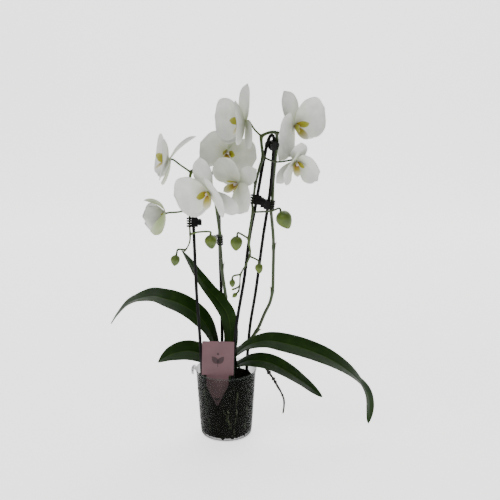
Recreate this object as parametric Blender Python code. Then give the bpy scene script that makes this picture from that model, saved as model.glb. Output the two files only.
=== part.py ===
"""Potted moth orchid with two arched flower spikes on bent wire supports.

Origin: centre of the pot's underside, on the surface that it stands on.
+Z is up and -Y is the front, where the label stands. Lengths are in metres.
"""
import math

import bmesh
import bpy
import numpy as np
from mathutils import Matrix

# ---------------------------------------------------------------- driving dimensions
POT_HEIGHT = 0.138
POT_TOP_RADIUS = 0.0595
POT_BASE_RADIUS = 0.0510
POT_WALL = 0.0010
POT_CORNER_RADIUS = 0.0070
RIM_LIP = 0.0012
RIM_HEIGHT = 0.0030
DRAIN_HOLE_RADIUS = 0.0045
DRAIN_HOLE_CIRCLE = 0.0300
DRAIN_HOLES = 8
TURN_STEPS = 36

CLEARANCE = 0.0003
BARK_BELOW_RIM = 0.0180
BARK_LUMP = 0.0022

LABEL_WIDTH = 0.0620
LABEL_PLATE_HEIGHT = 0.0700
LABEL_TONGUE_WIDTH = 0.0430
LABEL_TONGUE_LENGTH = 0.0640
LABEL_SHOULDER = 0.0210
LABEL_THICKNESS = 0.0007
LABEL_X = -0.0155
LABEL_TILT = math.radians(1.5)

CROWN_RADIUS = 0.0090
CROWN_DEPTH = 0.0150
CROWN_HEIGHT = 0.0700
CROWN_X = 0.0060

LEAF_THICKNESS = 0.0020
ROOT_RADIUS = 0.0026

WIRE_RADIUS = 0.0031
WIRE_BURIED = 0.0450
STEM_RADIUS = 0.0030
PEDICEL_RADIUS = 0.0018

PETAL_LENGTH = 0.0600
PETAL_WIDTH = 0.0720
SEPAL_LENGTH = 0.0620
SEPAL_WIDTH = 0.0350
LIP_LENGTH = 0.0290
FLOWER_HUB_RADIUS = 0.0042
PETAL_THICKNESS = 0.0010

CLIP_PIN_RADIUS = 0.0012
CLIP_HEIGHT = 0.0170
CLIP_WALL = 0.0016
KNUCKLE_RADIUS = 0.0022
HANDLE_LENGTH = 0.0090
TOOTH_GAPS = 3

# The plant's points are written for a pot whose bark is level with PLANT_DATUM and whose
# mouth has the radius PLANT_MOUTH, and they follow the real pot's height and mouth.
PLANT_DATUM = 0.1200
PLANT_MOUTH = 0.0595
BARK_TOP = POT_HEIGHT - BARK_BELOW_RIM
PLANT_LIFT = BARK_TOP - PLANT_DATUM
LABEL_WALL_RADIUS = (POT_BASE_RADIUS - POT_WALL - 3 * CLEARANCE + (POT_TOP_RADIUS
                     - POT_BASE_RADIUS) * (POT_HEIGHT - LABEL_SHOULDER) / POT_HEIGHT)
LABEL_Y = LABEL_THICKNESS / 2 - math.sqrt(
    LABEL_WALL_RADIUS ** 2 - (abs(LABEL_X) + LABEL_TONGUE_WIDTH / 2 + CLEARANCE) ** 2)


def mm(*points):
    """The plant's points, given in millimetres, as an array in metres on the real bark."""
    return np.array(points, float) / 1000.0 + (0, 0, PLANT_LIFT)


def foot(x, y, z):
    """A wire's point at the bark, which keeps its share of the pot's mouth."""
    spread = POT_TOP_RADIUS / PLANT_MOUTH
    return x * spread, y * spread, z


# ---------------------------------------------------------------- scene and materials
for old in list(bpy.data.objects):
    bpy.data.objects.remove(old, do_unlink=True)


def material(name, colour, roughness, metallic=0.0, alpha=1.0):
    made = bpy.data.materials.new(name)
    made.use_nodes = True
    shader = made.node_tree.nodes["Principled BSDF"]
    shader.inputs["Base Color"].default_value = (*colour, 1.0)
    shader.inputs["Roughness"].default_value = roughness
    shader.inputs["Metallic"].default_value = metallic
    shader.inputs["Alpha"].default_value = alpha
    return made


CLEAR_PLASTIC = material("pot_plastic", (0.45, 0.50, 0.46), 0.15, alpha=0.35)
BARK = material("bark", (0.06, 0.045, 0.03), 0.9)
LABEL_PLASTIC = material("label_plastic", (0.42, 0.22, 0.25), 0.45)
LEAF_GREEN = material("leaf_green", (0.025, 0.07, 0.008), 0.35)
ROOT_GREY = material("root_grey", (0.05, 0.05, 0.045), 0.8)
WIRE_BLACK = material("wire_coating", (0.012, 0.012, 0.012), 0.4)
STEM_GREEN = material("stem_green", (0.05, 0.09, 0.015), 0.5)
BUD_GREEN = material("bud_green", (0.16, 0.24, 0.03), 0.5)
PETAL_WHITE = material("petal_white", (0.80, 0.80, 0.78), 0.55)
LIP_YELLOW = material("lip_yellow", (0.60, 0.45, 0.06), 0.5)
CLIP_BLACK = material("clip_plastic", (0.012, 0.012, 0.013), 0.35)


# ---------------------------------------------------------------- mesh helpers
def solid(name, points, faces, finish, smooth=True):
    """One named object from points and faces, with its faces pointing out."""
    mesh = bpy.data.meshes.new(name)
    mesh.from_pydata([tuple(map(float, p)) for p in points], [], faces)
    edit = bmesh.new()
    edit.from_mesh(mesh)
    bmesh.ops.recalc_face_normals(edit, faces=edit.faces)
    edit.to_mesh(mesh)
    edit.free()
    if smooth:
        mesh.shade_smooth()
        mesh.set_sharp_from_angle(angle=math.radians(40))
    mesh.materials.append(finish)
    made = bpy.data.objects.new(name, mesh)
    bpy.context.scene.collection.objects.link(made)
    return made


def guide(made):
    """Marks an object as a cutter or a joined piece that isn't a part by itself."""
    made.hide_render = True
    made.display_type = 'WIRE'
    return made


def boolean(target, other, operation):
    step = target.modifiers.new(operation.lower() + "_" + other.name, 'BOOLEAN')
    step.operation = operation
    step.object = other
    step.solver = 'EXACT'


def unit(vector):
    vector = np.asarray(vector, float)
    return vector / np.linalg.norm(vector)


def smooth_path(points, count):
    """A Catmull-Rom curve through the points, read at equal steps of its length."""
    points = np.asarray(points, float)
    first = 2 * points[0] - points[1]
    last = 2 * points[-1] - points[-2]
    padded = np.vstack([first, points, last])
    dense = []
    for i in range(1, len(padded) - 2):
        a, b, c, d = padded[i - 1:i + 3]
        for t in np.linspace(0, 1, 16, endpoint=False):
            dense.append(0.5 * (2 * b + (c - a) * t + (2 * a - 5 * b + 4 * c - d) * t ** 2
                                + (3 * b - a - 3 * c + d) * t ** 3))
    dense.append(padded[-2])
    dense = np.array(dense)
    run = np.concatenate([[0], np.cumsum(np.linalg.norm(np.diff(dense, axis=0), axis=1))])
    steps = np.linspace(0, run[-1], count)
    return np.column_stack([np.interp(steps, run, dense[:, k]) for k in range(3)])


def frames(path):
    """A side vector and a normal at each point of a path, carried along without twist."""
    tangents = np.gradient(path, axis=0)
    tangents /= np.linalg.norm(tangents, axis=1)[:, None]
    start = np.array([1.0, 0, 0]) if abs(tangents[0][0]) < 0.8 else np.array([0, 1.0, 0])
    side = unit(np.cross(tangents[0], start))
    sides = []
    for tangent in tangents:
        side = unit(side - tangent * np.dot(side, tangent))
        sides.append(side)
    sides = np.array(sides)
    return sides, np.cross(tangents, sides)


def tube_mesh(path, radii, sides=8):
    """Points and faces of a closed round tube along a path."""
    across, up = frames(path)
    radii = np.broadcast_to(radii, len(path))
    points = []
    for centre, a, u, radius in zip(path, across, up, radii):
        for k in range(sides):
            angle = 2 * math.pi * k / sides
            points.append(centre + radius * (math.cos(angle) * a + math.sin(angle) * u))
    faces = [tuple(range(sides))[::-1]]
    for i in range(len(path) - 1):
        for k in range(sides):
            j = (k + 1) % sides
            faces.append((i * sides + k, i * sides + j, (i + 1) * sides + j, (i + 1) * sides + k))
    last = (len(path) - 1) * sides
    faces.append(tuple(range(last, last + sides)))
    return points, faces


def tube(name, path, radii, finish, sides=8):
    points, faces = tube_mesh(path, radii, sides)
    return solid(name, points, faces, finish)


def turned(name, profile, finish, steps=40, centre=(0, 0)):
    """A closed profile of (radius, height) pairs, turned about a vertical axis."""
    points, rings = [], []
    for radius, height in profile:
        if radius < 1e-9:
            rings.append([len(points)])
            points.append((centre[0], centre[1], height))
            continue
        ring = []
        for k in range(steps):
            angle = 2 * math.pi * k / steps
            ring.append(len(points))
            points.append((centre[0] + radius * math.cos(angle),
                           centre[1] + radius * math.sin(angle), height))
        rings.append(ring)
    faces = []
    for a, b in zip(rings, rings[1:] + rings[:1]):
        if len(a) == 1 and len(b) == 1:
            continue
        for k in range(steps):
            j = (k + 1) % steps
            corner = [a[k % len(a)], a[j % len(a)], b[j % len(b)], b[k % len(b)]]
            face = [c for n, c in enumerate(corner) if c not in corner[:n]]
            faces.append(tuple(face))
    return solid(name, points, faces, finish)


def sheet_faces(rows, columns):
    """Faces of a closed sheet: a front grid, a back grid and the rim between them."""
    def front(i, j):
        return i * columns + j

    def back(i, j):
        return rows * columns + i * columns + j

    faces = []
    for i in range(rows - 1):
        for j in range(columns - 1):
            faces.append((front(i, j), front(i, j + 1), front(i + 1, j + 1), front(i + 1, j)))
            faces.append((back(i, j), back(i + 1, j), back(i + 1, j + 1), back(i, j + 1)))
    for i in range(rows - 1):
        for j in (0, columns - 1):
            faces.append((front(i, j), front(i + 1, j), back(i + 1, j), back(i, j)))
    for j in range(columns - 1):
        for i in (0, rows - 1):
            faces.append((front(i, j), front(i, j + 1), back(i, j + 1), back(i, j)))
    return faces


# ---------------------------------------------------------------- pot
def pot_radius(height):
    """Outer radius of the pot's straight tapered wall at a height."""
    return POT_BASE_RADIUS + (POT_TOP_RADIUS - POT_BASE_RADIUS) * height / POT_HEIGHT


def make_pot():
    corner = POT_CORNER_RADIUS
    profile = [(0, 0), (POT_BASE_RADIUS - corner, 0)]
    for k in (1, 2, 3):
        angle = math.radians(30 * k)
        profile.append((POT_BASE_RADIUS - corner + corner * math.sin(angle),
                        corner - corner * math.cos(angle)))
    rim_foot = POT_HEIGHT - RIM_HEIGHT
    profile += [(pot_radius(rim_foot), rim_foot),
                (POT_TOP_RADIUS + RIM_LIP, rim_foot + 0.0006),
                (POT_TOP_RADIUS + RIM_LIP, POT_HEIGHT - 0.0004),
                (POT_TOP_RADIUS + RIM_LIP - 0.0004, POT_HEIGHT),
                (POT_TOP_RADIUS - POT_WALL, POT_HEIGHT),
                (POT_BASE_RADIUS - POT_WALL, corner)]
    inner = corner - POT_WALL
    for k in (2, 1):
        angle = math.radians(30 * k)
        profile.append((POT_BASE_RADIUS - corner + inner * math.sin(angle),
                        corner - inner * math.cos(angle)))
    profile += [(POT_BASE_RADIUS - corner, POT_WALL), (0, POT_WALL)]
    pot = turned("pot", profile, CLEAR_PLASTIC, TURN_STEPS)
    holes, faces = [], []
    for k in range(DRAIN_HOLES):
        angle = 2 * math.pi * k / DRAIN_HOLES
        centre = np.array([math.cos(angle), math.sin(angle), 0]) * DRAIN_HOLE_CIRCLE
        path = [centre - (0, 0, 0.002), centre + (0, 0, POT_WALL + 0.002)]
        ring, ring_faces = tube_mesh(np.array(path), DRAIN_HOLE_RADIUS, 7)
        faces += [tuple(i + len(holes) for i in face) for face in ring_faces]
        holes += ring
    drain = guide(solid("drain_cutter", holes, faces, CLEAR_PLASTIC, smooth=False))
    boolean(pot, drain, 'DIFFERENCE')


# ---------------------------------------------------------------- supports
# The front leg of the right-hand bow rises close behind the label.
BOW_BEHIND_LABEL = 0.0098
BOW_FRONT = (LABEL_Y + BOW_BEHIND_LABEL) * 1000
BOW_LEFT = mm(foot(-47, -20, 128), (-50, -21, 210), (-55, -23, 300), (-58, -23, 400),
              (-59, -20, 450), (-54, -12, 484), (-42, -3, 502), (-28, 5, 502),
              (-17, 11, 484), (-12, 16, 450), (-11, 18, 375), (-9, 19, 290),
              (-8, 20, 210), foot(-8, 20, 128))
BOW_RIGHT = mm(foot(13, -32, 128), (21, BOW_FRONT, 235), (36, -28, 329), (46, -24, 408),
               (60, -18, 484), (69, -13, 536), (76, -9, 573), (81, -7, 594),
               (87, -2, 604), (92, 4, 598), (92, 8, 580), (90, 13, 545),
               (86, 18, 495), (80, 22, 450), (72, 25, 394), (59, 26, 291),
               (47, 26, 212), foot(41, 26, 128))


def make_bow(name, route):
    """One bent wire with two legs that stand deep in the bark."""
    buried = np.array([0, 0, WIRE_BURIED])
    ends = [route[0] - buried, *route, route[-1] - buried]
    return tube(name, smooth_path(ends, 38), WIRE_RADIUS, WIRE_BLACK, sides=7)


# ---------------------------------------------------------------- bark and crown
def make_bark():
    """The potting bark: one filled body with a lumpy top and room for what stands in it."""
    floor = POT_WALL + CLEARANCE
    corner = POT_CORNER_RADIUS
    gap = POT_WALL + 2 * CLEARANCE
    rings = 5
    profile = [(0, floor), (POT_BASE_RADIUS - corner, floor),
               (POT_BASE_RADIUS - gap - corner * 0.28, floor + corner * 0.29),
               (POT_BASE_RADIUS - gap, corner)]
    edge = pot_radius(BARK_TOP) - gap
    profile.append((edge, BARK_TOP - BARK_LUMP))
    for k in range(1, rings):
        profile.append((edge * (1 - k / rings), BARK_TOP))
    profile.append((0, BARK_TOP))
    bark = turned("potting_bark", profile, BARK, TURN_STEPS)
    for vertex in bark.data.vertices:
        x, y, z = vertex.co
        if z > BARK_TOP - 1e-6:
            vertex.co.z -= BARK_LUMP * (0.5 + 0.5 * math.sin(x * 420 + y * 130)
                                        * math.cos(y * 390 - x * 90))
    points, faces = [], []
    for leg in (BOW_LEFT[0], BOW_LEFT[-1], BOW_RIGHT[0], BOW_RIGHT[-1]):
        path = np.array([leg - (0, 0, WIRE_BURIED + 0.002), leg + (0, 0, 0.02)])
        ring, ring_faces = tube_mesh(path, WIRE_RADIUS * 1.09 + 2 * CLEARANCE, 8)
        faces += [tuple(i + len(points) for i in face) for face in ring_faces]
        points += ring
    wells = guide(solid("wire_wells", points, faces, BARK, smooth=False))
    boolean(bark, wells, 'DIFFERENCE')
    bpy.ops.mesh.primitive_cube_add(size=1)
    slot = guide(bpy.context.object)
    slot.name = "label_slot"
    half = LABEL_TONGUE_WIDTH / 2 + 0.0030
    back = LABEL_Y + LABEL_THICKNESS / 2 + 2 * CLEARANCE
    low = POT_HEIGHT - LABEL_TONGUE_LENGTH - 0.0040
    slot.data.transform(box_transform((LABEL_X - half, -0.08, low),
                                      (LABEL_X + half, back, POT_HEIGHT)))
    boolean(bark, slot, 'DIFFERENCE')


def box_transform(low, high):
    """Matrix that turns a unit cube about the origin into the box between two corners."""
    low, high = np.array(low), np.array(high)
    size = high - low
    middle = (high + low) / 2
    return Matrix.Translation(middle) @ Matrix.Diagonal((*size, 1.0))


def make_crown():
    """The short thick stem that the leaves and spikes grow from."""
    base = BARK_TOP + CLEARANCE
    profile = [(0, base), (1.15, base), (1.25, base + 0.010), (1.0, base + CROWN_HEIGHT * 0.6),
               (0.6, base + CROWN_HEIGHT * 0.93), (0, base + CROWN_HEIGHT)]
    crown = turned("crown", profile, LEAF_GREEN, steps=14)
    for vertex in crown.data.vertices:
        vertex.co.x = vertex.co.x * CROWN_RADIUS + CROWN_X
        vertex.co.y = vertex.co.y * CROWN_DEPTH


# ---------------------------------------------------------------- label
def make_label():
    """A stick-in label: a plate above the rim and a pointed tongue inside the wall."""
    top = POT_HEIGHT + 0.0016 + LABEL_PLATE_HEIGHT
    foot = POT_HEIGHT + 0.0016
    half, tongue = LABEL_WIDTH / 2, LABEL_TONGUE_WIDTH / 2
    tip = POT_HEIGHT - LABEL_TONGUE_LENGTH
    outline = [(-half, top), (half, top), (half, foot), (tongue, foot),
               (tongue, POT_HEIGHT - LABEL_SHOULDER), (0.0012, tip), (-0.0012, tip),
               (-tongue, POT_HEIGHT - LABEL_SHOULDER), (-tongue, foot), (-half, foot)]
    turn = np.array([[math.cos(LABEL_TILT), math.sin(LABEL_TILT)],
                     [-math.sin(LABEL_TILT), math.cos(LABEL_TILT)]])
    pivot = np.array([0, foot])
    points = []
    for side in (-0.5, 0.5):
        for corner in outline:
            x, z = turn @ (np.array(corner) - pivot) + pivot
            points.append((LABEL_X + x, LABEL_Y + side * LABEL_THICKNESS, z))
    count = len(outline)
    faces = [tuple(range(count)), tuple(range(count, 2 * count))[::-1]]
    for k in range(count):
        j = (k + 1) % count
        faces.append((k, count + k, count + j, j))
    solid("pot_label", points, faces, LABEL_PLASTIC, smooth=False)


# ---------------------------------------------------------------- leaves and root
# Each leaf: midrib points in mm, greatest width in mm, and the roll of its blade in
# degrees at its base, at each quarter of its length and at its tip.
LEAVES = {
    "leaf_upper_left": (mm((-18, 4, 176), (-27, 6, 203), (-41, 8, 230), (-65, 6, 255),
                           (-90, 2, 272), (-116, -3, 283), (-145, -8, 291),
                           (-184, -14, 281), (-209, -18, 257), (-222, -20, 238)),
                        50, (24, 46, 32, 0, -4), 0.52),
    "leaf_lower_left": (mm((-12, 1, 145), (-30, 3, 157), (-57, 4, 169), (-79, 2, 173),
                           (-104, -2, 169), (-122, -5, 161), (-134, -6, 152)),
                        48, (14, 34, 34, 24, 16), 0.52),
    "leaf_middle": (mm((10, 3, 199), (9, 4, 222), (3, 3, 250), (-14, 1, 278),
                       (-30, 0, 298), (-52, 0, 329), (-67, -3, 355), (-83, -8, 382)),
                    33, (84, 72, 40, 28, 22), 0.84),
    "leaf_upper_right": (mm((22, 3, 168), (42, -2, 186), (70, -7, 197), (96, -10, 198),
                            (145, -14, 187), (195, -16, 168), (234, -18, 145),
                            (260, -20, 122), (279, -22, 94), (285, -22, 62), (283, -22, 28)),
                         50, (-14, -32, -22, 2, -60), 0.52),
    "leaf_lower_right": (mm((20, -5, 146), (47, -18, 161), (82, -32, 163), (115, -42, 151),
                            (150, -49, 129), (188, -54, 99)),
                         44, (-14, -24, -16, -6, -10), 0.56),
}
LEAF_STATIONS = 15
LEAF_FOLD = 0.16
LEAF_COLUMNS = 5


def leaf_width(s, base):
    """Half of a leaf's width, as a share of its greatest, from base (0) to tip (1)."""
    rise = base + (1 - base) * math.sin(math.pi / 2 * min(1.0, s / 0.45))
    fall = max(0.0, 1 - max(0.0, (s - 0.55) / 0.45) ** 2.2) ** 0.75
    return rise * fall * 0.97 + 0.03


def make_leaf(name, midrib, width, rolls, base):
    """A thick strap-like blade, folded a little along its midrib."""
    path = smooth_path(midrib, LEAF_STATIONS)
    tangents = np.gradient(path, axis=0)
    heading = (midrib[-1] - midrib[0]) * (1, 1, 0)
    sideways = unit(np.cross(heading, (0, 0, 1)))
    front, back = [], []
    for i, (centre, tangent) in enumerate(zip(path, tangents)):
        s = i / (LEAF_STATIONS - 1)
        tangent = unit(tangent)
        level = unit(sideways - tangent * np.dot(sideways, tangent))
        normal = np.cross(level, tangent)
        roll = math.radians(np.interp(s, (0, 0.25, 0.5, 0.75, 1), rolls))
        across = math.cos(roll) * level + math.sin(roll) * normal
        up = np.cross(across, tangent)
        half = width / 2000.0 * leaf_width(s, base)
        for j in range(LEAF_COLUMNS):
            t = 2 * j / (LEAF_COLUMNS - 1) - 1
            lift = half * LEAF_FOLD * (abs(t) ** 1.3 - 0.4)
            edge = 0.35 + 0.65 * (1 - t * t)
            middle = centre + across * (t * half) + up * lift
            front.append(middle + up * LEAF_THICKNESS / 2 * edge)
            back.append(middle - up * LEAF_THICKNESS / 2 * edge)
    return solid(name, front + back, sheet_faces(LEAF_STATIONS, LEAF_COLUMNS), LEAF_GREEN)


ROOT_ROUTE = mm((20, 12, 137), (42, 13, 144), (57, 19, 148), (67, 26, 143), (75, 31, 133),
                (81, 32, 122), (89, 33, 109),
                (96, 34, 98), (103, 35, 84), (110, 36, 71), (116, 37, 55), (117, 38, 40),
                (115, 38, 22))


def make_root():
    """A dry aerial root that hangs over the rim, with swellings along it."""
    path = smooth_path(ROOT_ROUTE, 30)
    s = np.linspace(0, 1, 30)
    radii = ROOT_RADIUS * (1.1 - 0.45 * s + 0.30 * np.sin(s * 31) * (1 - s))
    return tube("aerial_root", path, radii, ROOT_GREY, sides=7)


# ---------------------------------------------------------------- buds
# Each bud: centre in mm, length and width in mm, and the direction that its tip points.
BUDS = (
    ((113, -26, 447), 37, 32, (0.45, -0.2, -0.9)),
    ((22, -34, 403), 29, 25, (-0.1, 0, -1)),
    ((-26, -26, 404), 28, 25, (0.1, 0, -1)),
    ((-94, -32, 369), 22, 19, (-0.2, 0, -1)),
    ((65, -31, 353), 20, 16.5, (0.1, 0, -1)),
    ((14, -33, 324), 16, 12.5, (0.0, 0, -1)),
    ((18, -33, 300), 11.5, 9.5, (-0.7, 0, -0.7)),
    ((15, -33, 312), 6, 4.5, (-0.9, 0, -0.3)),
)
BUD_PROFILE = ((0.0, 0.0), (0.10, 0.50), (0.28, 0.86), (0.50, 1.0), (0.72, 0.80),
               (0.90, 0.38), (1.0, 0.0))


def basis(axis, up=(0, 0, 1)):
    """Two directions at right angles to an axis."""
    axis = unit(axis)
    up = np.array(up, float) if abs(np.dot(axis, up)) < 0.95 else np.array([0, 1.0, 0])
    side = unit(np.cross(axis, up))
    return side, np.cross(side, axis)


def bud_top(centre, length, tip):
    """The point in metres where a bud meets its stalk."""
    return mm(centre)[0] - unit(tip) * (length / 2000)


def make_bud(number, centre, length, width, tip):
    side, other = basis(tip)
    steps = 9
    top = bud_top(centre, length, tip)
    points, faces = [top], []
    for share, fatness in BUD_PROFILE[1:-1]:
        for k in range(steps):
            angle = 2 * math.pi * k / steps
            ring = side * math.cos(angle) + other * math.sin(angle)
            points.append(top + unit(tip) * share * length / 1000
                          + ring * fatness * width / 2000)
    points.append(top + unit(tip) * length / 1000)
    rings = len(BUD_PROFILE) - 2
    end = len(points) - 1
    for k in range(steps):
        j = (k + 1) % steps
        faces.append((0, 1 + j, 1 + k))
        for r in range(rings - 1):
            a, b = 1 + r * steps, 1 + (r + 1) * steps
            faces.append((a + k, a + j, b + j, b + k))
        last = 1 + (rings - 1) * steps
        faces.append((last + k, last + j, end))
    solid(f"bud_{number}", points, faces, BUD_GREEN)


# ---------------------------------------------------------------- flowers
# Each flower: hub in mm, turn from the front (to the right), nod (down), lean of its top
# to the right, size, and the forward lean in degrees, at claw and tip, of its dorsal
# sepal, its lateral sepals, its left petal and its right petal.
FLOWERS = (
    ((-102, -22, 562), -80, -8, 0, 1.06, ((-30, -56), (-10, 40), (22, 10), (22, 10))),
    ((-112, -28, 460), -74, 8, 0, 0.90, ((-8, 104), (2, 96), (56, 104), (56, 104))),
    ((-28, -50, 506), -24, 16, -10, 1.12, ((2, -12), (11, 5), (26, 2), (46, 34))),
    ((26, -33, 519), -46, 8, 56, 0.98, ((2, -6), (4, -4), (24, 6), (24, 6))),
    ((4, 43, 563), 7, 3, 17, 0.95, ((0, -12), (2, -8), (16, -2), (17, -2))),
    ((39, -12, 631), -58, 0, -2, 1.12, ((2, -12), (12, 24), (30, 20), (48, 40))),
    ((129, -4, 622), 46, 4, -22, 1.16, ((2, -12), (6, 0), (26, 8), (26, 8))),
    ((132, -31, 559), 14, 24, 0, 0.88, ((8, 24), (18, 36), (42, 56), (42, 56))),
)
HALF_OPEN_LEAN = 60
YOUNG_SEPAL, YOUNG_PETAL, YOUNG_LIP = 1.5, 0.78, 0.55
PETAL_LAYER = 0.0018
LIP_LAYER = 0.0036


def flower_axes(turn, nod, lean):
    """Directions of a flower's right, its top and its face."""
    turn, nod, lean = (math.radians(v) for v in (turn, nod, lean))
    face = np.array([math.sin(turn) * math.cos(nod), -math.cos(turn) * math.cos(nod),
                     -math.sin(nod)])
    top = unit(np.array([0, 0, 1.0]) - face * face[2])
    right = np.cross(top, face)
    top = math.cos(lean) * top + math.sin(lean) * right
    return np.cross(top, face), top, face


def blade_width(s, broad):
    """Half width of a petal or sepal as a share of its greatest, from claw to tip."""
    if broad:
        opened = math.sin(math.pi / 2 * min(1.0, s / 0.50)) ** 0.80
        return opened * max(0.0, 1 - max(0.0, (s - 0.50) / 0.50) ** 2.6) ** 0.5
    opened = math.sin(math.pi / 2 * min(1.0, s / 0.52)) ** 0.85
    return opened * max(0.0, 1 - max(0.0, (s - 0.52) / 0.48) ** 2.5) ** 0.5


def arc_point(leans, s):
    """Reach and height, as shares of its length, of a blade whose lean changes evenly."""
    first, last = (math.radians(v) for v in leans)
    steps = np.linspace(0, s, 12)
    angles = first + (last - first) * (steps[:-1] + steps[1:]) / 2
    return float(np.sum(np.cos(angles)) * s / 11), float(np.sum(np.sin(angles)) * s / 11)


def whorl(name, hub, axes, blades, hub_radius, offset, thickness, finish, rows=6, columns=5):
    """Blades that grow from one small hub, as one closed body.

    Each blade is (direction in degrees, length, width, claw width, forward lean at its
    claw and at its tip in degrees, cup), and the blades are given in turn around the hub.
    """
    right, top, face = axes
    centre = mm(hub)[0] + face * offset
    fronts, backs, faces = [], [], []
    front_ring, back_ring = [], []
    size = rows * columns
    total = size * len(blades)
    for n, (angle, length, width, claw, leans, cup) in enumerate(blades):
        angle = math.radians(angle)
        along = math.cos(angle) * right + math.sin(angle) * top
        across = -math.sin(angle) * right + math.cos(angle) * top
        for i in range(rows):
            s = (1 - math.cos(math.pi * 0.86 * i / (rows - 1))) / (1 - math.cos(math.pi * 0.86))
            bend = math.radians(leans[0] + (leans[1] - leans[0]) * s)
            out, rise = arc_point(leans, s)
            if i == 0:
                bend = 0.0
            stand = math.cos(bend) * face - math.sin(bend) * along
            step = math.cos(bend) * along + math.sin(bend) * face
            half = claw / 2
            if i > 0:
                half += (width - claw) / 2 * blade_width(s, width > 0.8 * length)
            for j in range(columns):
                t = 2 * j / (columns - 1) - 1
                round_off = 1 - 0.11 * t * t * s ** 3
                where = (centre + along * (hub_radius + out * length) + face * (rise * length)
                         - step * (length * (1 - round_off)) + across * (half * t)
                         + stand * (cup * half * t * t * min(1.0, s * 3)))
                edge = 0.5 * thickness * (0.45 + 0.55 * (1 - t * t) * (1 - 0.6 * s))
                fronts.append(where + stand * edge)
                backs.append(where - stand * edge)
        start = n * size
        front_ring += [start + j for j in range(columns)]
        back_ring += [total + start + j for j in range(columns)]
        for face_points in sheet_faces(rows, columns):
            local = [p if p < size else p - size + total for p in face_points]
            ids = [start + p for p in local]
            first_row = [p % size < columns for p in face_points]
            if all(first_row):
                continue
            faces.append(tuple(ids))
    faces.append(tuple(front_ring))
    faces.append(tuple(back_ring[::-1]))
    count = len(front_ring)
    for k in range(columns - 1, count, columns):
        j = (k + 1) % count
        faces.append((front_ring[k], back_ring[k], back_ring[j], front_ring[j]))
    return solid(name, fronts + backs, faces, finish)


def make_flower(number, hub, turn, nod, lean, size, opening):
    axes = flower_axes(turn, nod, lean)
    dorsal, lateral, left_petal, right_petal = opening
    r = FLOWER_HUB_RADIUS
    half_open = left_petal[1] > HALF_OPEN_LEAN
    sepal_width = SEPAL_WIDTH * size * (YOUNG_SEPAL if half_open else 1.0)
    grown = size * (YOUNG_PETAL if half_open else 1.0)
    curl = 0.10 + 0.35 * max(0, left_petal[1]) / 112
    sepals = [(90, SEPAL_LENGTH * size, sepal_width, 0.0056, dorsal, 0.16),
              (215, SEPAL_LENGTH * size, sepal_width, 0.0056, lateral, 0.10),
              (325, SEPAL_LENGTH * size, sepal_width, 0.0056, lateral, 0.10)]
    whorl(f"flower_{number}_sepals", hub, axes, sepals, r, 0.0, PETAL_THICKNESS * 1.2,
          PETAL_WHITE, rows=6, columns=3)
    petals = [(6, PETAL_LENGTH * grown, PETAL_WIDTH * grown, 0.0060, right_petal, curl),
              (174, PETAL_LENGTH * grown, PETAL_WIDTH * grown, 0.0060, left_petal, curl)]
    whorl(f"flower_{number}_petals", hub, axes, petals, r, PETAL_LAYER, PETAL_THICKNESS,
          PETAL_WHITE, rows=6, columns=5)
    lobe = LIP_LENGTH * size * (YOUNG_LIP if half_open else 1.0)
    lobes = [(8, lobe * 0.62, lobe * 0.50, 0.0034, (52, 96), 0.10),
             (172, lobe * 0.62, lobe * 0.50, 0.0034, (52, 96), 0.10),
             (270, lobe, lobe * 0.60, 0.0034, (60, 10), -0.10)]
    lip = whorl(f"flower_{number}_lip", hub, axes, lobes, r * 0.6, LIP_LAYER,
                PETAL_THICKNESS, LIP_YELLOW, rows=5, columns=3)
    right, top, face = axes
    root = mm(hub)[0] + face * LIP_LAYER
    column = np.array([root, root + face * 0.004 + top * 0.001,
                       root + face * 0.0075 + top * 0.0010, root + face * 0.0092])
    points, faces = tube_mesh(column, np.array([0.0020, 0.0023, 0.0024, 0.0012]), 7)
    boolean(lip, guide(solid(f"column_{number}", points, faces, LIP_YELLOW)), 'UNION')


HUB_STUB = 0.007


def hub_back(number):
    """Where a flower's stalk stops behind its hub, and a point a little further back."""
    hub, turn, nod, lean, size, opening = FLOWERS[number - 1]
    face = flower_axes(turn, nod, lean)[2]
    stop = mm(hub)[0] - face * (PETAL_THICKNESS * 0.6 + CLEARANCE)
    return [stop - face * HUB_STUB, stop]


def bud_back(number):
    """Where a bud's stalk stops above the bud, and a point a little further back."""
    centre, length, width, tip = BUDS[number - 1]
    stop = bud_top(centre, length, tip) - unit(tip) * CLEARANCE
    return [stop - unit(tip) * min(0.006, length / 4000), stop]


# ---------------------------------------------------------------- flower spikes
def beside(route, height, leg, direction):
    """A wire's point and direction at a height, and the stem's points next to it there."""
    points = smooth_path(route, 400)
    half = points[:200] if leg == "first" else points[200:]
    level = height + PLANT_LIFT
    nearest = int(np.clip(np.argmin(np.abs(half[:, 2] - level)), 3, len(half) - 4))
    wire = half[nearest]
    along = unit(half[nearest + 3] - half[nearest - 3])
    along = along if along[2] > 0 else -along
    outward = unit(np.array(direction) - along * np.dot(direction, along))
    stem = wire + outward * (WIRE_RADIUS + STEM_RADIUS + 3 * CLEARANCE)
    reach = along * (CLIP_HEIGHT / 2 + 0.0015)
    return wire, along, outward, [stem - reach, stem, stem + reach]


CLIP_PLACES = {
    1: (BOW_LEFT, 0.442, "first", (-1, -0.15, 0)),
    2: (BOW_LEFT, 0.396, "last", (0.2, -1, 0)),
    3: (BOW_RIGHT, 0.483, "first", (-1, -0.15, 0)),
    4: (BOW_RIGHT, 0.466, "last", (1, 0.05, 0)),
    5: (BOW_RIGHT, 0.583, "last", (0.8, 0.6, 0)),
}


def held(number, rising=True):
    """The stem's points in one clip, in the order in which the stem runs."""
    points = beside(*CLIP_PLACES[number])[3]
    return points if rising else points[::-1]


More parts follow.
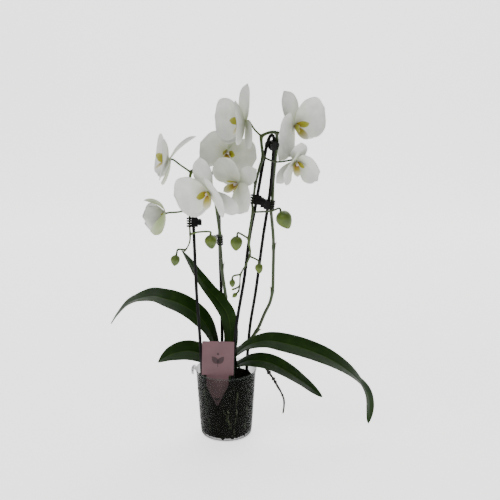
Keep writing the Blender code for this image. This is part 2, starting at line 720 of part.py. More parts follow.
def make_spike(name, route, stalks):
    """One grown flower stem: the main stem with its side stalks."""
    path = smooth_path(route, 46)
    s = np.linspace(0, 1, len(path))
    radii = STEM_RADIUS * np.interp(s, (0, 0.6, 0.85, 1.0), (1.12, 1.0, 0.72, 0.42))
    spike = tube(name, path, radii, STEM_GREEN, sides=6)
    points, faces = [], []
    for stalk in stalks:
        nearest = path[np.argmin(np.linalg.norm(path - stalk[0], axis=1))]
        run = smooth_path([nearest, *stalk[1:]], 8)
        thickness = np.interp(np.linspace(0, 1, 8), (0, 0.2, 1), (1.25, 1.0, 1.0))
        ring, ring_faces = tube_mesh(run, PEDICEL_RADIUS * thickness, 5)
        faces += [tuple(i + len(points) for i in face) for face in ring_faces]
        points += ring
    stalk_set = guide(solid(name + "_stalks", points, faces, STEM_GREEN))
    boolean(spike, stalk_set, 'UNION')


def make_spikes():
    left = [*mm((2, 15.5, 170), (2, 20, 176), (2, 17, 200), (1, 15, 240), (0, 15.5, 280),
                (-6, 12, 330)), *held(2),
            *mm((-15, 8, 450), (-20, 2.5, 486), (-28, -2, 518), (-40, -8, 536),
                (-52, -13, 543), (-62, -19, 537), (-65, -23, 520), (-65, -24, 490)),
            *held(1, rising=False), *mm((-66, -30, 407), (-74, -31, 390), (-80, -32, 386))]
    make_spike("flower_spike_left", left, [
        [*mm((-62, -19, 537), (-82, -20, 551)), *hub_back(1)],
        [*mm((-65, -24, 490), (-76, -27, 466)), *hub_back(2)],
        [*mm((-65, -23, 520), (-48, -26, 522)), *hub_back(3)],
        [*mm((-28, -2, 518), (-22, 40, 530), (-6, 60, 558)), *hub_back(5)],
        [*mm((-62, -28, 420), (-50, -28, 424)), *bud_back(3)],
        [*mm((-74, -31, 390), (-88, -32, 391)), *bud_back(4)],
    ])
    right = [*mm((9, 15.5, 165), (20, 30, 165), (45, 36, 181), (63, 33, 208), (76, 31, 240),
                 (87, 30, 265), (92, 29, 292), (93, 29, 332), (93, 28, 393)), *held(4),
             *mm((92, 22, 514)), *held(5),
             *mm((97, 2, 606), (91, -4, 610), (80, -9, 609), (69, -14, 603), (69, -16, 588),
                 (71, -18, 566), (65, -21, 545), (58, -24, 518)), *held(3, rising=False),
             *mm((52.3, -25.2, 462), (45, -31, 413), (48, -33, 386), (42, -34, 366),
                 (30, -34, 343), (28, -33, 320), (26, -33, 308))]
    make_spike("flower_spike_right", right, [
        [*mm((69, -14, 603), (56, -12, 616)), *hub_back(6)],
        [*mm((97, 2, 606), (106, 3, 610)), *hub_back(7)],
        [*mm((71, -18, 566), (97, -21, 557)), *hub_back(8)],
        [*mm((58, -24, 518), (50, -22, 522)), *hub_back(4)],
        [*mm((52.3, -25.2, 462), (85, -30, 465)), *bud_back(1)],
        [*mm((45, -31, 413), (28, -33, 423)), *bud_back(2)],
        [*mm((47, -33, 378), (60, -31, 371)), *bud_back(5)],
        [*mm((30, -34, 343), (18, -34, 340)), *bud_back(6)],
        [*mm((28, -33, 318), (24, -33, 316)), *bud_back(8)],
        [*mm((26, -33, 309), (25, -33, 307)), *bud_back(7)],
    ])


# ---------------------------------------------------------------- clips
JAW_INNER = STEM_RADIUS + 4 * CLEARANCE
JAW_REACH = 2 * (WIRE_RADIUS + STEM_RADIUS) + KNUCKLE_RADIUS + 10 * CLEARANCE


def clip_outline():
    """Half of a clip seen along its pin: jaw towards -u, finger grip towards +u."""
    inner, wall = JAW_INNER, CLIP_WALL
    outside, inside = [], []
    for k in range(5):
        angle = math.radians(90 * k / 4)
        drop, rise = 1 - math.cos(angle), math.sin(angle)
        outside.append((-JAW_REACH - wall + (inner + wall) * drop,
                        CLEARANCE + (inner + wall - CLEARANCE) * rise))
        inside.append((-JAW_REACH + inner * drop, CLEARANCE + (inner - CLEARANCE) * rise))
    grip = [(0.0, inner + wall), (HANDLE_LENGTH * 0.5, inner + wall + 0.0008),
            (HANDLE_LENGTH, inner + wall + 0.0026), (HANDLE_LENGTH + 0.0006, inner + 0.0030),
            (HANDLE_LENGTH * 0.5, inner + 0.0008), (0.0, inner)]
    return outside + grip + inside[::-1]


def make_clip(number):
    """A sprung claw clip of two toothed halves that turn on one pin."""
    wire, z_axis, outward, stem = beside(*CLIP_PLACES[number])
    u_axis = -outward
    v_axis = np.cross(z_axis, u_axis)
    pin = wire + u_axis * (WIRE_RADIUS + KNUCKLE_RADIUS + 2 * CLEARANCE)

    def place(u, v, z):
        return pin + u_axis * u + v_axis * v + z_axis * z

    half = CLIP_HEIGHT / 2
    third = CLIP_HEIGHT / 3
    outline = clip_outline()
    count = len(outline)
    for label, sign in (("fixed", 1), ("moving", -1)):
        points = [place(u, sign * v, z) for z in (-half, half) for u, v in outline]
        faces = [tuple(range(count)), tuple(range(count, 2 * count))]
        faces += [(k, (k + 1) % count, count + (k + 1) % count, count + k)
                  for k in range(count)]
        body = solid(f"clip_{number}_{label}", points, faces, CLIP_BLACK)
        cutters, cut_faces = [], []
        slot = CLIP_HEIGHT / (2 * TOOTH_GAPS + 1)
        for k in range(TOOTH_GAPS):
            low = -half + slot * (2 * k + 1)
            reach = -JAW_REACH - 2 * CLIP_WALL
            corners = [(reach, sign * 0.02), (reach, -sign * 0.02),
                       (-JAW_REACH * 0.55, -sign * 0.02), (-JAW_REACH * 0.55, sign * 0.02)]
            box = [place(u, v, z) for z in (low, low + slot) for u, v in corners]
            base = len(cutters)
            cutters += box
            cut_faces += [tuple(base + i for i in face) for face in
                          ((0, 1, 2, 3), (4, 5, 6, 7), (0, 1, 5, 4), (1, 2, 6, 5),
                           (2, 3, 7, 6), (3, 0, 4, 7))]
        gaps = guide(solid(f"clip_{number}_{label}_gaps", cutters, cut_faces, CLIP_BLACK,
                           smooth=False))
        spans = [(-half, -third / 2 - CLEARANCE), (third / 2 + CLEARANCE, half)]
        if label == "moving":
            spans = [(-third / 2 + CLEARANCE, third / 2 - CLEARANCE)]
        knuckles, knuckle_faces = [], []
        for low, high in spans:
            outline_k = [(KNUCKLE_RADIUS * math.cos(a), KNUCKLE_RADIUS * math.sin(a))
                         for a in np.linspace(math.pi * 0.9, math.pi * 2.1, 6)]
            ring = [(-KNUCKLE_RADIUS * 0.95, JAW_INNER + 0.0004), *outline_k,
                    (KNUCKLE_RADIUS * 0.95, JAW_INNER + 0.0004)]
            base = len(knuckles)
            size = len(ring)
            knuckles += [place(u, sign * v, z) for z in (low, high) for u, v in ring]
            knuckle_faces += [tuple(base + i for i in range(size)),
                              tuple(base + size + i for i in range(size))]
            knuckle_faces += [(base + i, base + (i + 1) % size,
                               base + size + (i + 1) % size, base + size + i)
                              for i in range(size)]
        knuckle_set = guide(solid(f"clip_{number}_{label}_knuckles", knuckles,
                                  knuckle_faces, CLIP_BLACK, smooth=False))
        boolean(body, knuckle_set, 'UNION')
        boolean(body, gaps, 'DIFFERENCE')
        bore_radius = CLIP_PIN_RADIUS if label == "fixed" else CLIP_PIN_RADIUS + CLEARANCE
        reach = half + 0.001
        if label == "fixed":
            ends = np.array([place(0, 0, -half + 0.0005), place(0, 0, half - 0.0005)])
            operation = 'UNION'
        else:
            ends = np.array([place(0, 0, -reach), place(0, 0, reach)])
            operation = 'DIFFERENCE'
        points, faces = tube_mesh(ends, bore_radius, 6)
        boolean(body, guide(solid(f"clip_{number}_{label}_pin", points, faces, CLIP_BLACK,
                                  smooth=False)), operation)


# ---------------------------------------------------------------- assembly
make_pot()
make_bark()
make_crown()
make_label()
for leaf_name, leaf in LEAVES.items():
    make_leaf(leaf_name, *leaf)
make_root()
make_bow("support_bow_left", BOW_LEFT)
make_bow("support_bow_right", BOW_RIGHT)
make_spikes()
for bud_number, bud in enumerate(BUDS, 1):
    make_bud(bud_number, *bud)
for flower_number, flower in enumerate(FLOWERS, 1):
    make_flower(flower_number, *flower)
for clip_number in CLIP_PLACES:
    make_clip(clip_number)
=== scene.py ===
"""Looks of a potted moth orchid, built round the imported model, which is its fixed frame."""
import math

import bmesh
import bpy
import numpy as np
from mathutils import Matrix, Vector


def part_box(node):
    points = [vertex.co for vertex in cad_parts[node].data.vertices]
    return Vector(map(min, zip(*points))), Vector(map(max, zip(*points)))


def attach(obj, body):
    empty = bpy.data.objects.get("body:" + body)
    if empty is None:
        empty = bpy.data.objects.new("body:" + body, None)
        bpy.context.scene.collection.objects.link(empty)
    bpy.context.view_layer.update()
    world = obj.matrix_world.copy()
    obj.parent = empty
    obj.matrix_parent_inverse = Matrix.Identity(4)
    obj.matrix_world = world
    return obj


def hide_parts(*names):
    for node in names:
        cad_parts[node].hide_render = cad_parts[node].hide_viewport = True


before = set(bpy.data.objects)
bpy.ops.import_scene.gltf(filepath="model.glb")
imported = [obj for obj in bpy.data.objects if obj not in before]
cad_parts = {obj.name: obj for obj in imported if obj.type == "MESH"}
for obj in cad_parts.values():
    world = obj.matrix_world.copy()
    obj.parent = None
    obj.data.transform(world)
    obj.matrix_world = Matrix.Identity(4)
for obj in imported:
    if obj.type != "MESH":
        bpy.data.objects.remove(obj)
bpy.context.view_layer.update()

# ---------------------------------------------------------------- studio
# A pale sweep of paper that turns up behind the plant, three soft lamps and an even white
# sky. Nothing of it belongs to the plant.
SWEEP_WIDTH = 6.0
SWEEP_FRONT = -4.0
SWEEP_TURN = 1.6
SWEEP_RADIUS = 1.2
SWEEP_TOP = 5.0
PAPER_GLOW = 1.5
SKY_STRENGTH = 0.24
CAMERA_PLACE = (0.0475, -2.0, 0.955)
CAMERA_PITCH = 16.02
CAMERA_LENS, CAMERA_SENSOR = 78.0, 36.0
LAMPS_AIM = (0.03, 0.0, 0.35)
LAMPS = (
    ("key", (-1.5, -1.5, 2.6), 1.6, 38),
    ("fill", (2.1, -1.7, 1.5), 1.8, 9),
    ("back", (0.6, 1.5, 2.6), 1.8, 30),
)


def plain_mesh(name, points, faces):
    mesh = bpy.data.meshes.new(name)
    mesh.from_pydata([tuple(map(float, p)) for p in points], [], faces)
    made = bpy.data.objects.new(name, mesh)
    bpy.context.scene.collection.objects.link(made)
    return made


def shader_of(name, colour, roughness):
    """A Principled material, its node tree and its shader."""
    made = bpy.data.materials.new(name)
    made.use_nodes = True
    shader = made.node_tree.nodes["Principled BSDF"]
    shader.inputs["Base Color"].default_value = (*colour, 1)
    shader.inputs["Roughness"].default_value = roughness
    return made, made.node_tree, shader


def place_of(tree):
    """The piece's own coordinates, in metres."""
    return tree.nodes.new("ShaderNodeTexCoord").outputs["Object"]


def noise(tree, vector, scale, detail=3.0, stretch=(1, 1, 1)):
    """Noise with features of about 1/scale metres, stretched along the axes."""
    mapping = tree.nodes.new("ShaderNodeMapping")
    mapping.inputs["Scale"].default_value = stretch
    tree.links.new(vector, mapping.inputs["Vector"])
    made = tree.nodes.new("ShaderNodeTexNoise")
    made.inputs["Scale"].default_value = scale
    made.inputs["Detail"].default_value = detail
    tree.links.new(mapping.outputs["Vector"], made.inputs["Vector"])
    return made.outputs["Fac"]


def ramp(tree, factor, stops):
    """Colours (or greys) at places along a factor."""
    made = tree.nodes.new("ShaderNodeValToRGB")
    band = made.color_ramp
    while len(band.elements) < len(stops):
        band.elements.new(0.5)
    for element, (place, colour) in zip(band.elements, stops):
        element.position = place
        element.color = (*colour, 1) if isinstance(colour, tuple) else (colour, colour, colour, 1)
    tree.links.new(factor, made.inputs["Fac"])
    return made.outputs["Color"]


def blend_colours(tree, factor, first, second, how='MIX'):
    """Two colours (or sockets) mixed by a factor socket or number."""
    made = tree.nodes.new("ShaderNodeMix")
    made.data_type = 'RGBA'
    made.blend_type = how
    for socket, value in ((made.inputs[0], factor), (made.inputs[6], first), (made.inputs[7], second)):
        if isinstance(value, bpy.types.NodeSocket):
            tree.links.new(value, socket)
        elif isinstance(value, tuple):
            socket.default_value = (*value, 1)
        else:
            socket.default_value = value
    return made.outputs[2]


def compute(tree, operation, first, second=0.0):
    made = tree.nodes.new("ShaderNodeMath")
    made.operation = operation
    for socket, value in ((made.inputs[0], first), (made.inputs[1], second)):
        if isinstance(value, bpy.types.NodeSocket):
            tree.links.new(value, socket)
        else:
            socket.default_value = value
    return made.outputs[0]


def tint(tree, shader, factor, stops, socket="Base Color"):
    """Drives a socket of the shader by colours (or greys) along a factor."""
    tree.links.new(ramp(tree, factor, stops), shader.inputs[socket])


def relief(tree, shader, height, strength, distance=0.001):
    made = tree.nodes.new("ShaderNodeBump")
    made.inputs["Strength"].default_value = strength
    made.inputs["Distance"].default_value = distance
    tree.links.new(height, made.inputs["Height"])
    tree.links.new(made.outputs["Normal"], shader.inputs["Normal"])


sweep = [(SWEEP_FRONT, 0.0)]
for step in range(13):
    angle = math.radians(90 * step / 12)
    sweep.append((SWEEP_TURN + SWEEP_RADIUS * math.sin(angle), SWEEP_RADIUS * (1 - math.cos(angle))))
sweep.append((SWEEP_TURN + SWEEP_RADIUS, SWEEP_TOP))
paper = plain_mesh("studio_paper",
                   [(side * SWEEP_WIDTH / 2, y, z) for y, z in sweep for side in (-1, 1)],
                   [(2 * k, 2 * k + 1, 2 * k + 3, 2 * k + 2) for k in range(len(sweep) - 1)])
paper.data.shade_smooth()
paper_look, tree, shader = shader_of("studio_paper", (0.9, 0.9, 0.9), 0.9)
tint(tree, shader, noise(tree, place_of(tree), 3.0), ((0.0, (0.93, 0.93, 0.925)),
                                                      (1.0, (0.96, 0.96, 0.955))))
shader.inputs["Emission Color"].default_value = (1, 1, 1, 1)
shader.inputs["Emission Strength"].default_value = PAPER_GLOW
paper.data.materials.append(paper_look)

for lamp_name, lamp_place, lamp_size, lamp_power in LAMPS:
    lamp = bpy.data.lights.new(lamp_name, 'AREA')
    lamp.size = lamp_size
    lamp.energy = lamp_power
    lamp_object = bpy.data.objects.new(lamp_name, lamp)
    lamp_object.location = lamp_place
    toward = np.array(LAMPS_AIM) - np.array(lamp_place)
    lamp_object.rotation_euler = (math.atan2(math.hypot(toward[0], toward[1]), -toward[2]), 0,
                                  math.atan2(-toward[0], toward[1]))
    bpy.context.scene.collection.objects.link(lamp_object)

sky = bpy.data.worlds.new("sky")
sky.use_nodes = True
sky.node_tree.nodes["Background"].inputs["Color"].default_value = (1, 1, 1, 1)
sky.node_tree.nodes["Background"].inputs["Strength"].default_value = SKY_STRENGTH
bpy.context.scene.world = sky

eye = bpy.data.cameras.new("camera")
eye.lens = CAMERA_LENS
eye.sensor_width = CAMERA_SENSOR
camera = bpy.data.objects.new("camera", eye)
camera.location = CAMERA_PLACE
camera.rotation_euler = (math.radians(90 - CAMERA_PITCH), 0, 0)
bpy.context.scene.collection.objects.link(camera)
bpy.context.scene.camera = camera

# ---------------------------------------------------------------- pot
# A thin vacuum-formed pot of smoky clear plastic, drawn in one piece: a rolled rim, a
# straight tapered wall, a rounded foot and drain holes. A flap of its rim is bent outwards.
POT_FAR_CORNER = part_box("pot")[1]
POT_HEIGHT = float(POT_FAR_CORNER[2])
RIM_LIP = 0.0012
POT_TOP = float(POT_FAR_CORNER[0]) - RIM_LIP
POT_BASE = POT_TOP - 0.0085
POT_WALL = 0.0010
POT_CORNER = 0.0070
RIM_HEIGHT = 0.0030
FOOT_RISE, FOOT_INNER, FOOT_OUTER = 0.0012, 0.020, 0.022
LIP_TUCK = 0.0004
POT_STEPS = 128
DRAIN_HOLES = 8
DRAIN_CIRCLE = 0.0300
DRAIN_RADIUS = 0.0045
DRAIN_SIDES = 20
FLAP_HEADING, FLAP_SPREAD = 184, 13
FLAP_THICK = 0.0007
FLAP_STEPS, FLAP_ROWS = 12, 7


def wall_radius(height):
    """Outer radius of the pot's wall at a height."""
    return POT_BASE + (POT_TOP - POT_BASE) * height / POT_HEIGHT


def turned(name, profile, steps, closed=True):
    """A profile of (radius, height) pairs turned about a vertical axis."""
    points, rings = [], []
    for radius, height in profile:
        count = 1 if radius < 1e-9 else steps
        rings.append(range(len(points), len(points) + count))
        for k in range(count):
            angle = 2 * math.pi * k / steps
            points.append((radius * math.cos(angle), radius * math.sin(angle), height))
    faces = []
    for a, b in zip(rings, rings[1:] + (rings[:1] if closed else [])):
        for k in range(steps if len(a) + len(b) > 2 else 0):
            j = (k + 1) % steps
            corners = [a[k % len(a)], a[j % len(a)], b[j % len(b)], b[k % len(b)]]
            faces.append(tuple(c for n, c in enumerate(corners) if c not in corners[:n]))
    made = plain_mesh(name, points, faces)
    face_out(made)
    return made


def face_out(made, smooth=45):
    """Merges doubles, turns the faces outwards and shades the piece smooth."""
    edit = bmesh.new()
    edit.from_mesh(made.data)
    bmesh.ops.remove_doubles(edit, verts=edit.verts, dist=1e-6)
    bmesh.ops.recalc_face_normals(edit, faces=edit.faces)
    edit.to_mesh(made.data)
    edit.free()
    made.data.shade_smooth()
    made.data.set_sharp_from_angle(angle=math.radians(smooth))


def bake_down(made):
    """Replaces a piece's mesh by the one that its modifiers give."""
    bpy.context.view_layer.update()
    seen = made.evaluated_get(bpy.context.evaluated_depsgraph_get())
    mesh = bpy.data.meshes.new_from_object(seen)
    made.modifiers.clear()
    made.data = mesh
    return made


def cut_away(made, cutter):
    """Cuts the shape of a second piece out of the first, and removes the second."""
    cut = made.modifiers.new("cut", 'BOOLEAN')
    cut.operation = 'DIFFERENCE'
    cut.object = cutter
    bake_down(made)
    bpy.data.objects.remove(cutter)


def sheet_faces(rows, columns, start=0):
    """Faces of a closed thin sheet: a front grid, then a back grid, and the edge between."""
    faces, size = [], rows * columns
    for row in range(rows - 1):
        for column in range(columns - 1):
            a = start + row * columns + column
            b = a + size
            faces += [(a, a + 1, a + columns + 1, a + columns), (b, b + columns, b + columns + 1, b + 1)]
    border = [*range(columns), *range(2 * columns - 1, size, columns),
              *range(size - 2, size - columns - 1, -1), *range(size - 2 * columns, 0, -columns)]
    for a, b in zip(border, border[1:] + border[:1]):
        faces.append((start + a, start + b, start + size + b, start + size + a))
    return faces


def settle(made, look, body, slot, *nodes):
    """Gives a finished piece its look, its body and the solids it stands for; the slot argument is not used.
    """
    if look is not None:
        made.data.materials.clear()
        made.data.materials.append(look)
    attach(made, body)
    if nodes:
        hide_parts(*nodes)
    return made


pot_profile = [(0, FOOT_RISE), (FOOT_INNER, FOOT_RISE), (FOOT_OUTER, 0.0), (POT_BASE - POT_CORNER, 0.0)]
for step in range(1, 9):
    angle = math.radians(90 * step / 8)
    pot_profile.append((POT_BASE - POT_CORNER + POT_CORNER * math.sin(angle),
                        POT_CORNER - POT_CORNER * math.cos(angle)))
rim_foot = POT_HEIGHT - RIM_HEIGHT
for share in np.linspace(0.12, 1.0, 10):
    pot_profile.append((wall_radius(rim_foot * share), rim_foot * share))
for step in range(9):
    angle = math.radians(-90 + 180 * step / 8)
    pot_profile.append((POT_TOP - LIP_TUCK + (RIM_LIP + LIP_TUCK) * math.cos(angle),
                        POT_HEIGHT - RIM_HEIGHT / 2 + RIM_HEIGHT / 2 * math.sin(angle)))
pot_profile.append((POT_TOP - POT_WALL, POT_HEIGHT - 0.0006))
for share in np.linspace(1.0, 0.12, 10):
    pot_profile.append((wall_radius(rim_foot * share) - POT_WALL, rim_foot * share))
inner = POT_CORNER - POT_WALL
for step in range(8, 0, -1):
    angle = math.radians(90 * step / 8)
    pot_profile.append((POT_BASE - POT_CORNER + inner * math.sin(angle),
                        POT_CORNER - inner * math.cos(angle)))
pot_profile += [(FOOT_OUTER, POT_WALL), (FOOT_INNER, FOOT_RISE + POT_WALL), (0, FOOT_RISE + POT_WALL)]
pot = turned("pot_shell", pot_profile, POT_STEPS)

drill_points, drill_faces = [], []
for hole in range(DRAIN_HOLES):
    angle = 2 * math.pi * hole / DRAIN_HOLES
    start, ring = len(drill_points), DRAIN_SIDES
    for level in (-0.003, 0.005):
        for k in range(DRAIN_SIDES):
            turn = 2 * math.pi * k / DRAIN_SIDES
            drill_points.append((DRAIN_CIRCLE * math.cos(angle) + DRAIN_RADIUS * math.cos(turn),
                                 DRAIN_CIRCLE * math.sin(angle) + DRAIN_RADIUS * math.sin(turn), level))
    drill_faces += [tuple(range(start + ring - 1, start - 1, -1)),
                    tuple(range(start + ring, start + 2 * ring))]
    drill_faces += [(start + k, start + (k + 1) % ring, start + ring + (k + 1) % ring, start + ring + k)
                    for k in range(ring)]
drill = plain_mesh("drill", drill_points, drill_faces)
face_out(drill)
cut_away(pot, drill)
pot.data.shade_smooth()
pot.data.set_sharp_from_angle(angle=math.radians(40))

clear_look, tree, shader = shader_of("smoky_clear_plastic", (0.03, 0.035, 0.03), 0.25)
shader.inputs["IOR"].default_value = 1.49
shader.inputs["Specular IOR Level"].default_value = 0.08
where = place_of(tree)
smears = noise(tree, where, 38.0, 4.0, (1, 1, 0.35))
edge = tree.nodes.new("ShaderNodeLayerWeight")
edge.inputs["Blend"].default_value = 0.35
film = compute(tree, 'ADD', compute(tree, 'MULTIPLY', edge.outputs["Facing"], 0.55), 0.14)
film = compute(tree, 'ADD', film, compute(tree, 'MULTIPLY', smears, 0.08))
tree.links.new(film, shader.inputs["Alpha"])
smoke = ramp(tree, smears, ((0.3, (0.004, 0.005, 0.004)), (0.75, (0.012, 0.015, 0.012))))
parts = tree.nodes.new("ShaderNodeSeparateXYZ")
tree.links.new(where, parts.inputs[0])
share_up = compute(tree, 'DIVIDE', parts.outputs["Z"], POT_HEIGHT)
# Painted highlight: the rolled rim is given a lighter grey base colour than the smoky wall, standing in for
# the light that catches it.
rim_highlight_band = ramp(tree, share_up, ((0.972, 0.0), (0.984, 1.0)))
tree.links.new(blend_colours(tree, rim_highlight_band, smoke, (0.060, 0.072, 0.064)), shader.inputs["Base Color"])
tint(tree, shader, smears, ((0.3, 0.30), (0.8, 0.46)), "Roughness")
relief(tree, shader, noise(tree, where, 60.0, 2.0, (1, 1, 0.2)), 0.05)
settle(pot, clear_look, "plant", "clear_plastic", "pot")

flap_points = []
for side in (0.0, FLAP_THICK):
    for row in range(FLAP_ROWS):
        s = row / (FLAP_ROWS - 1)
        for k in range(FLAP_STEPS):
            t = 2 * k / (FLAP_STEPS - 1) - 1
            angle = math.radians(FLAP_HEADING + FLAP_SPREAD * t * (1 - 0.35 * s))
            reach = POT_TOP + 0.0004 + 0.0085 * math.sin(s * 1.9) * (1 - 0.5 * t * t) + side
            height = POT_HEIGHT - 0.0012 + 0.0065 * math.sin(s * 3.4) - 0.006 * s * s
            flap_points.append((reach * math.cos(angle), reach * math.sin(angle), height))
flap = plain_mesh("pot_rim_flap", flap_points, sheet_faces(FLAP_ROWS, FLAP_STEPS))
face_out(flap)
settle(flap, clear_look, "plant", "clear_plastic")

# ---------------------------------------------------------------- potting bark and roots
# Coarse chips of pine bark, poured in loose, dark with water. Fleshy grey-green roots have
# grown down between the chips and the wall, where they show through the plastic.
BARK_TOP = float(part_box("potting_bark")[1][2])
BARK_GAP = 0.0042
CHIPS_BY_SIDE, CHIPS_ON_TOP = 26000.0, 60000.0
CHIP_LENGTH = 0.0105
CHIP_BLOCK, CHIP_ROUGHNESS = (1.0, 0.62, 0.30), 0.85
CHIP_TURN = (0.35, 0.35, 3.1)
CHIP_LEAST, CHIP_MOST = (0.45, 0.5, 0.6), (1.25, 1.3, 1.3)
BED_FLOOR, BED_SETTLED, BED_SIDES = 0.004, 0.004, 72
ROOTS_SHOWN, ROOT_POINTS = 11, 60
BURIED_RADIUS, BURIED_TAPER, BURIED_DEPTH = 0.0021, 0.0006, 0.0029
SLOT_GAP = 0.0020
SLOT_FRONT, SLOT_BACK = -0.03, 0.0012
LABEL_LOW, LABEL_HIGH = (np.array(corner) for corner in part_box("pot_label"))
LABEL_X = -0.0155
LABEL_Y = float(LABEL_LOW[1] + LABEL_HIGH[1]) / 2
LABEL_THICK = 0.0007
LABEL_TILT = math.radians(1.5)
LABEL_FOOT = POT_HEIGHT + 0.0016
LABEL_TOP = LABEL_FOOT + 0.0700
LABEL_TIP = POT_HEIGHT - 0.0640
LABEL_SHOULDER = POT_HEIGHT - 0.0210
LABEL_HALF, TONGUE_HALF = 0.0310, 0.0215


def on_label(x, z, y=0.0):
    """A place on the label's plane, leaning with it."""
    c, s = math.cos(LABEL_TILT), math.sin(LABEL_TILT)
    return (LABEL_X + c * x + s * (z - LABEL_FOOT), LABEL_Y + y, LABEL_FOOT - s * x + c * (z - LABEL_FOOT))


def slab(name, outline, y_low, y_high, bevel=0.0):
    """A flat piece of the label's plane between two depths."""
    count = len(outline)
    points = [on_label(x, z, y) for y in (y_low, y_high) for x, z in outline]
    faces = [tuple(range(count)), tuple(range(2 * count - 1, count - 1, -1))]
    faces += [(k, count + k, count + (k + 1) % count, (k + 1) % count) for k in range(count)]
    made = plain_mesh(name, points, faces)
    face_out(made, 30)
    if bevel:
        step = made.modifiers.new("edge", 'BEVEL')
        step.width = bevel
        step.segments = 2
        bake_down(made)
    return made


def new_tree(name, inputs):
    """A Geometry Nodes tree with named inputs, and its input and output nodes."""
    made = bpy.data.node_groups.new(name, 'GeometryNodeTree')
    made.interface.new_socket("Geometry", in_out='INPUT', socket_type='NodeSocketGeometry')
    for label, kind in inputs:
        made.interface.new_socket(label, in_out='INPUT', socket_type='NodeSocket' + kind)
    made.interface.new_socket("Geometry", in_out='OUTPUT', socket_type='NodeSocketGeometry')
    return made, made.nodes.new("NodeGroupInput"), made.nodes.new("NodeGroupOutput")


def ended(tree, shape, given, result):
    """Ends a tree with real geometry that wears the material it is given."""
    real = tree.nodes.new("GeometryNodeRealizeInstances")
    tree.links.new(shape, real.inputs[0])
    dress = tree.nodes.new("GeometryNodeSetMaterial")
    tree.links.new(real.outputs[0], dress.inputs["Geometry"])
    tree.links.new(given.outputs["Finish"], dress.inputs["Material"])
    tree.links.new(dress.outputs[0], result.inputs[0])
    return tree


def grow(made, tree, **values):
    """Runs a tree on a piece with the named inputs and keeps the plain mesh it gives."""
    step = made.modifiers.new(tree.name, 'NODES')
    step.node_group = tree
    for item in tree.interface.items_tree:
        key = item.name.lower().replace(" ", "_")
        if item.in_out == 'INPUT' and key in values:
            step[item.identifier] = values[key]
    return bake_down(made)


def chip_tree():
    """Scatters rough flat chips over the faces of a bed."""
    tree, given, result = new_tree("bark_chips", (("Density", "Float"), ("Seed", "Int"),
                                                  ("Length", "Float"), ("Finish", "Material"),
                                                  ("Slot Centre", "Float"), ("Slot Half", "Float"),
                                                  ("Slot Tip", "Float"), ("Slot Shoulder", "Float")))
    link = tree.links.new
    scatter = tree.nodes.new("GeometryNodeDistributePointsOnFaces")
    scatter.distribute_method = 'RANDOM'
    link(given.outputs["Geometry"], scatter.inputs["Mesh"])
    link(given.outputs["Density"], scatter.inputs["Density"])
    link(given.outputs["Seed"], scatter.inputs["Seed"])
    here = tree.nodes.new("ShaderNodeSeparateXYZ")
    link(tree.nodes.new("GeometryNodeInputPosition").outputs[0], here.inputs[0])
    aside = compute(tree, 'SUBTRACT', here.outputs["X"], given.outputs["Slot Centre"])
    aside = compute(tree, 'ABSOLUTE', aside)
    rise = compute(tree, 'SUBTRACT', here.outputs["Z"], given.outputs["Slot Tip"])
    whole = compute(tree, 'SUBTRACT', given.outputs["Slot Shoulder"], given.outputs["Slot Tip"])
    reach = compute(tree, 'MINIMUM', compute(tree, 'DIVIDE', rise, whole), 1.0)
    reach = compute(tree, 'MULTIPLY', reach, given.outputs["Slot Half"])
    in_slot = compute(tree, 'MULTIPLY', compute(tree, 'LESS_THAN', aside, reach),
                      compute(tree, 'LESS_THAN', here.outputs["Y"], 0.0))
    clear = tree.nodes.new("GeometryNodeDeleteGeometry")
    clear.domain = 'POINT'
    link(scatter.outputs["Points"], clear.inputs["Geometry"])
    link(in_slot, clear.inputs["Selection"])
    block = tree.nodes.new("GeometryNodeMeshCube")
    block.inputs["Size"].default_value = CHIP_BLOCK
    block.inputs["Vertices X"].default_value = 4
    block.inputs["Vertices Y"].default_value = 3
    block.inputs["Vertices Z"].default_value = 2
    wander = tree.nodes.new("ShaderNodeTexNoise")
    wander.inputs["Scale"].default_value = 2.2
    centre = tree.nodes.new("ShaderNodeVectorMath")
    centre.operation = 'SUBTRACT'
    centre.inputs[1].default_value = (0.5, 0.5, 0.5)
    link(wander.outputs["Color"], centre.inputs[0])
    swing = tree.nodes.new("ShaderNodeVectorMath")
    swing.operation = 'SCALE'
    swing.inputs["Scale"].default_value = CHIP_ROUGHNESS
    link(centre.outputs[0], swing.inputs[0])
    rough = tree.nodes.new("GeometryNodeSetPosition")
    link(block.outputs["Mesh"], rough.inputs["Geometry"])
    link(swing.outputs[0], rough.inputs["Offset"])
    turn = tree.nodes.new("FunctionNodeRandomValue")
    turn.data_type = 'FLOAT_VECTOR'
    turn.inputs[0].default_value = [-angle for angle in CHIP_TURN]
    turn.inputs[1].default_value = CHIP_TURN
    rotate = tree.nodes.new("FunctionNodeRotateRotation")
    rotate.rotation_space = 'LOCAL'
    link(scatter.outputs["Rotation"], rotate.inputs[0])
    link(turn.outputs[0], rotate.inputs[1])
    girth = tree.nodes.new("FunctionNodeRandomValue")
    girth.data_type = 'FLOAT_VECTOR'
    girth.inputs[0].default_value = CHIP_LEAST
    girth.inputs[1].default_value = CHIP_MOST
    full = tree.nodes.new("ShaderNodeVectorMath")
    full.operation = 'SCALE'
    link(girth.outputs[0], full.inputs[0])
    link(given.outputs["Length"], full.inputs["Scale"])
    place = tree.nodes.new("GeometryNodeInstanceOnPoints")
    link(clear.outputs[0], place.inputs["Points"])
    link(rough.outputs["Geometry"], place.inputs["Instance"])
    link(rotate.outputs[0], place.inputs["Rotation"])
    link(full.outputs[0], place.inputs["Scale"])
    return ended(tree, place.outputs[0], given, result)


CHIP_TREE = chip_tree()


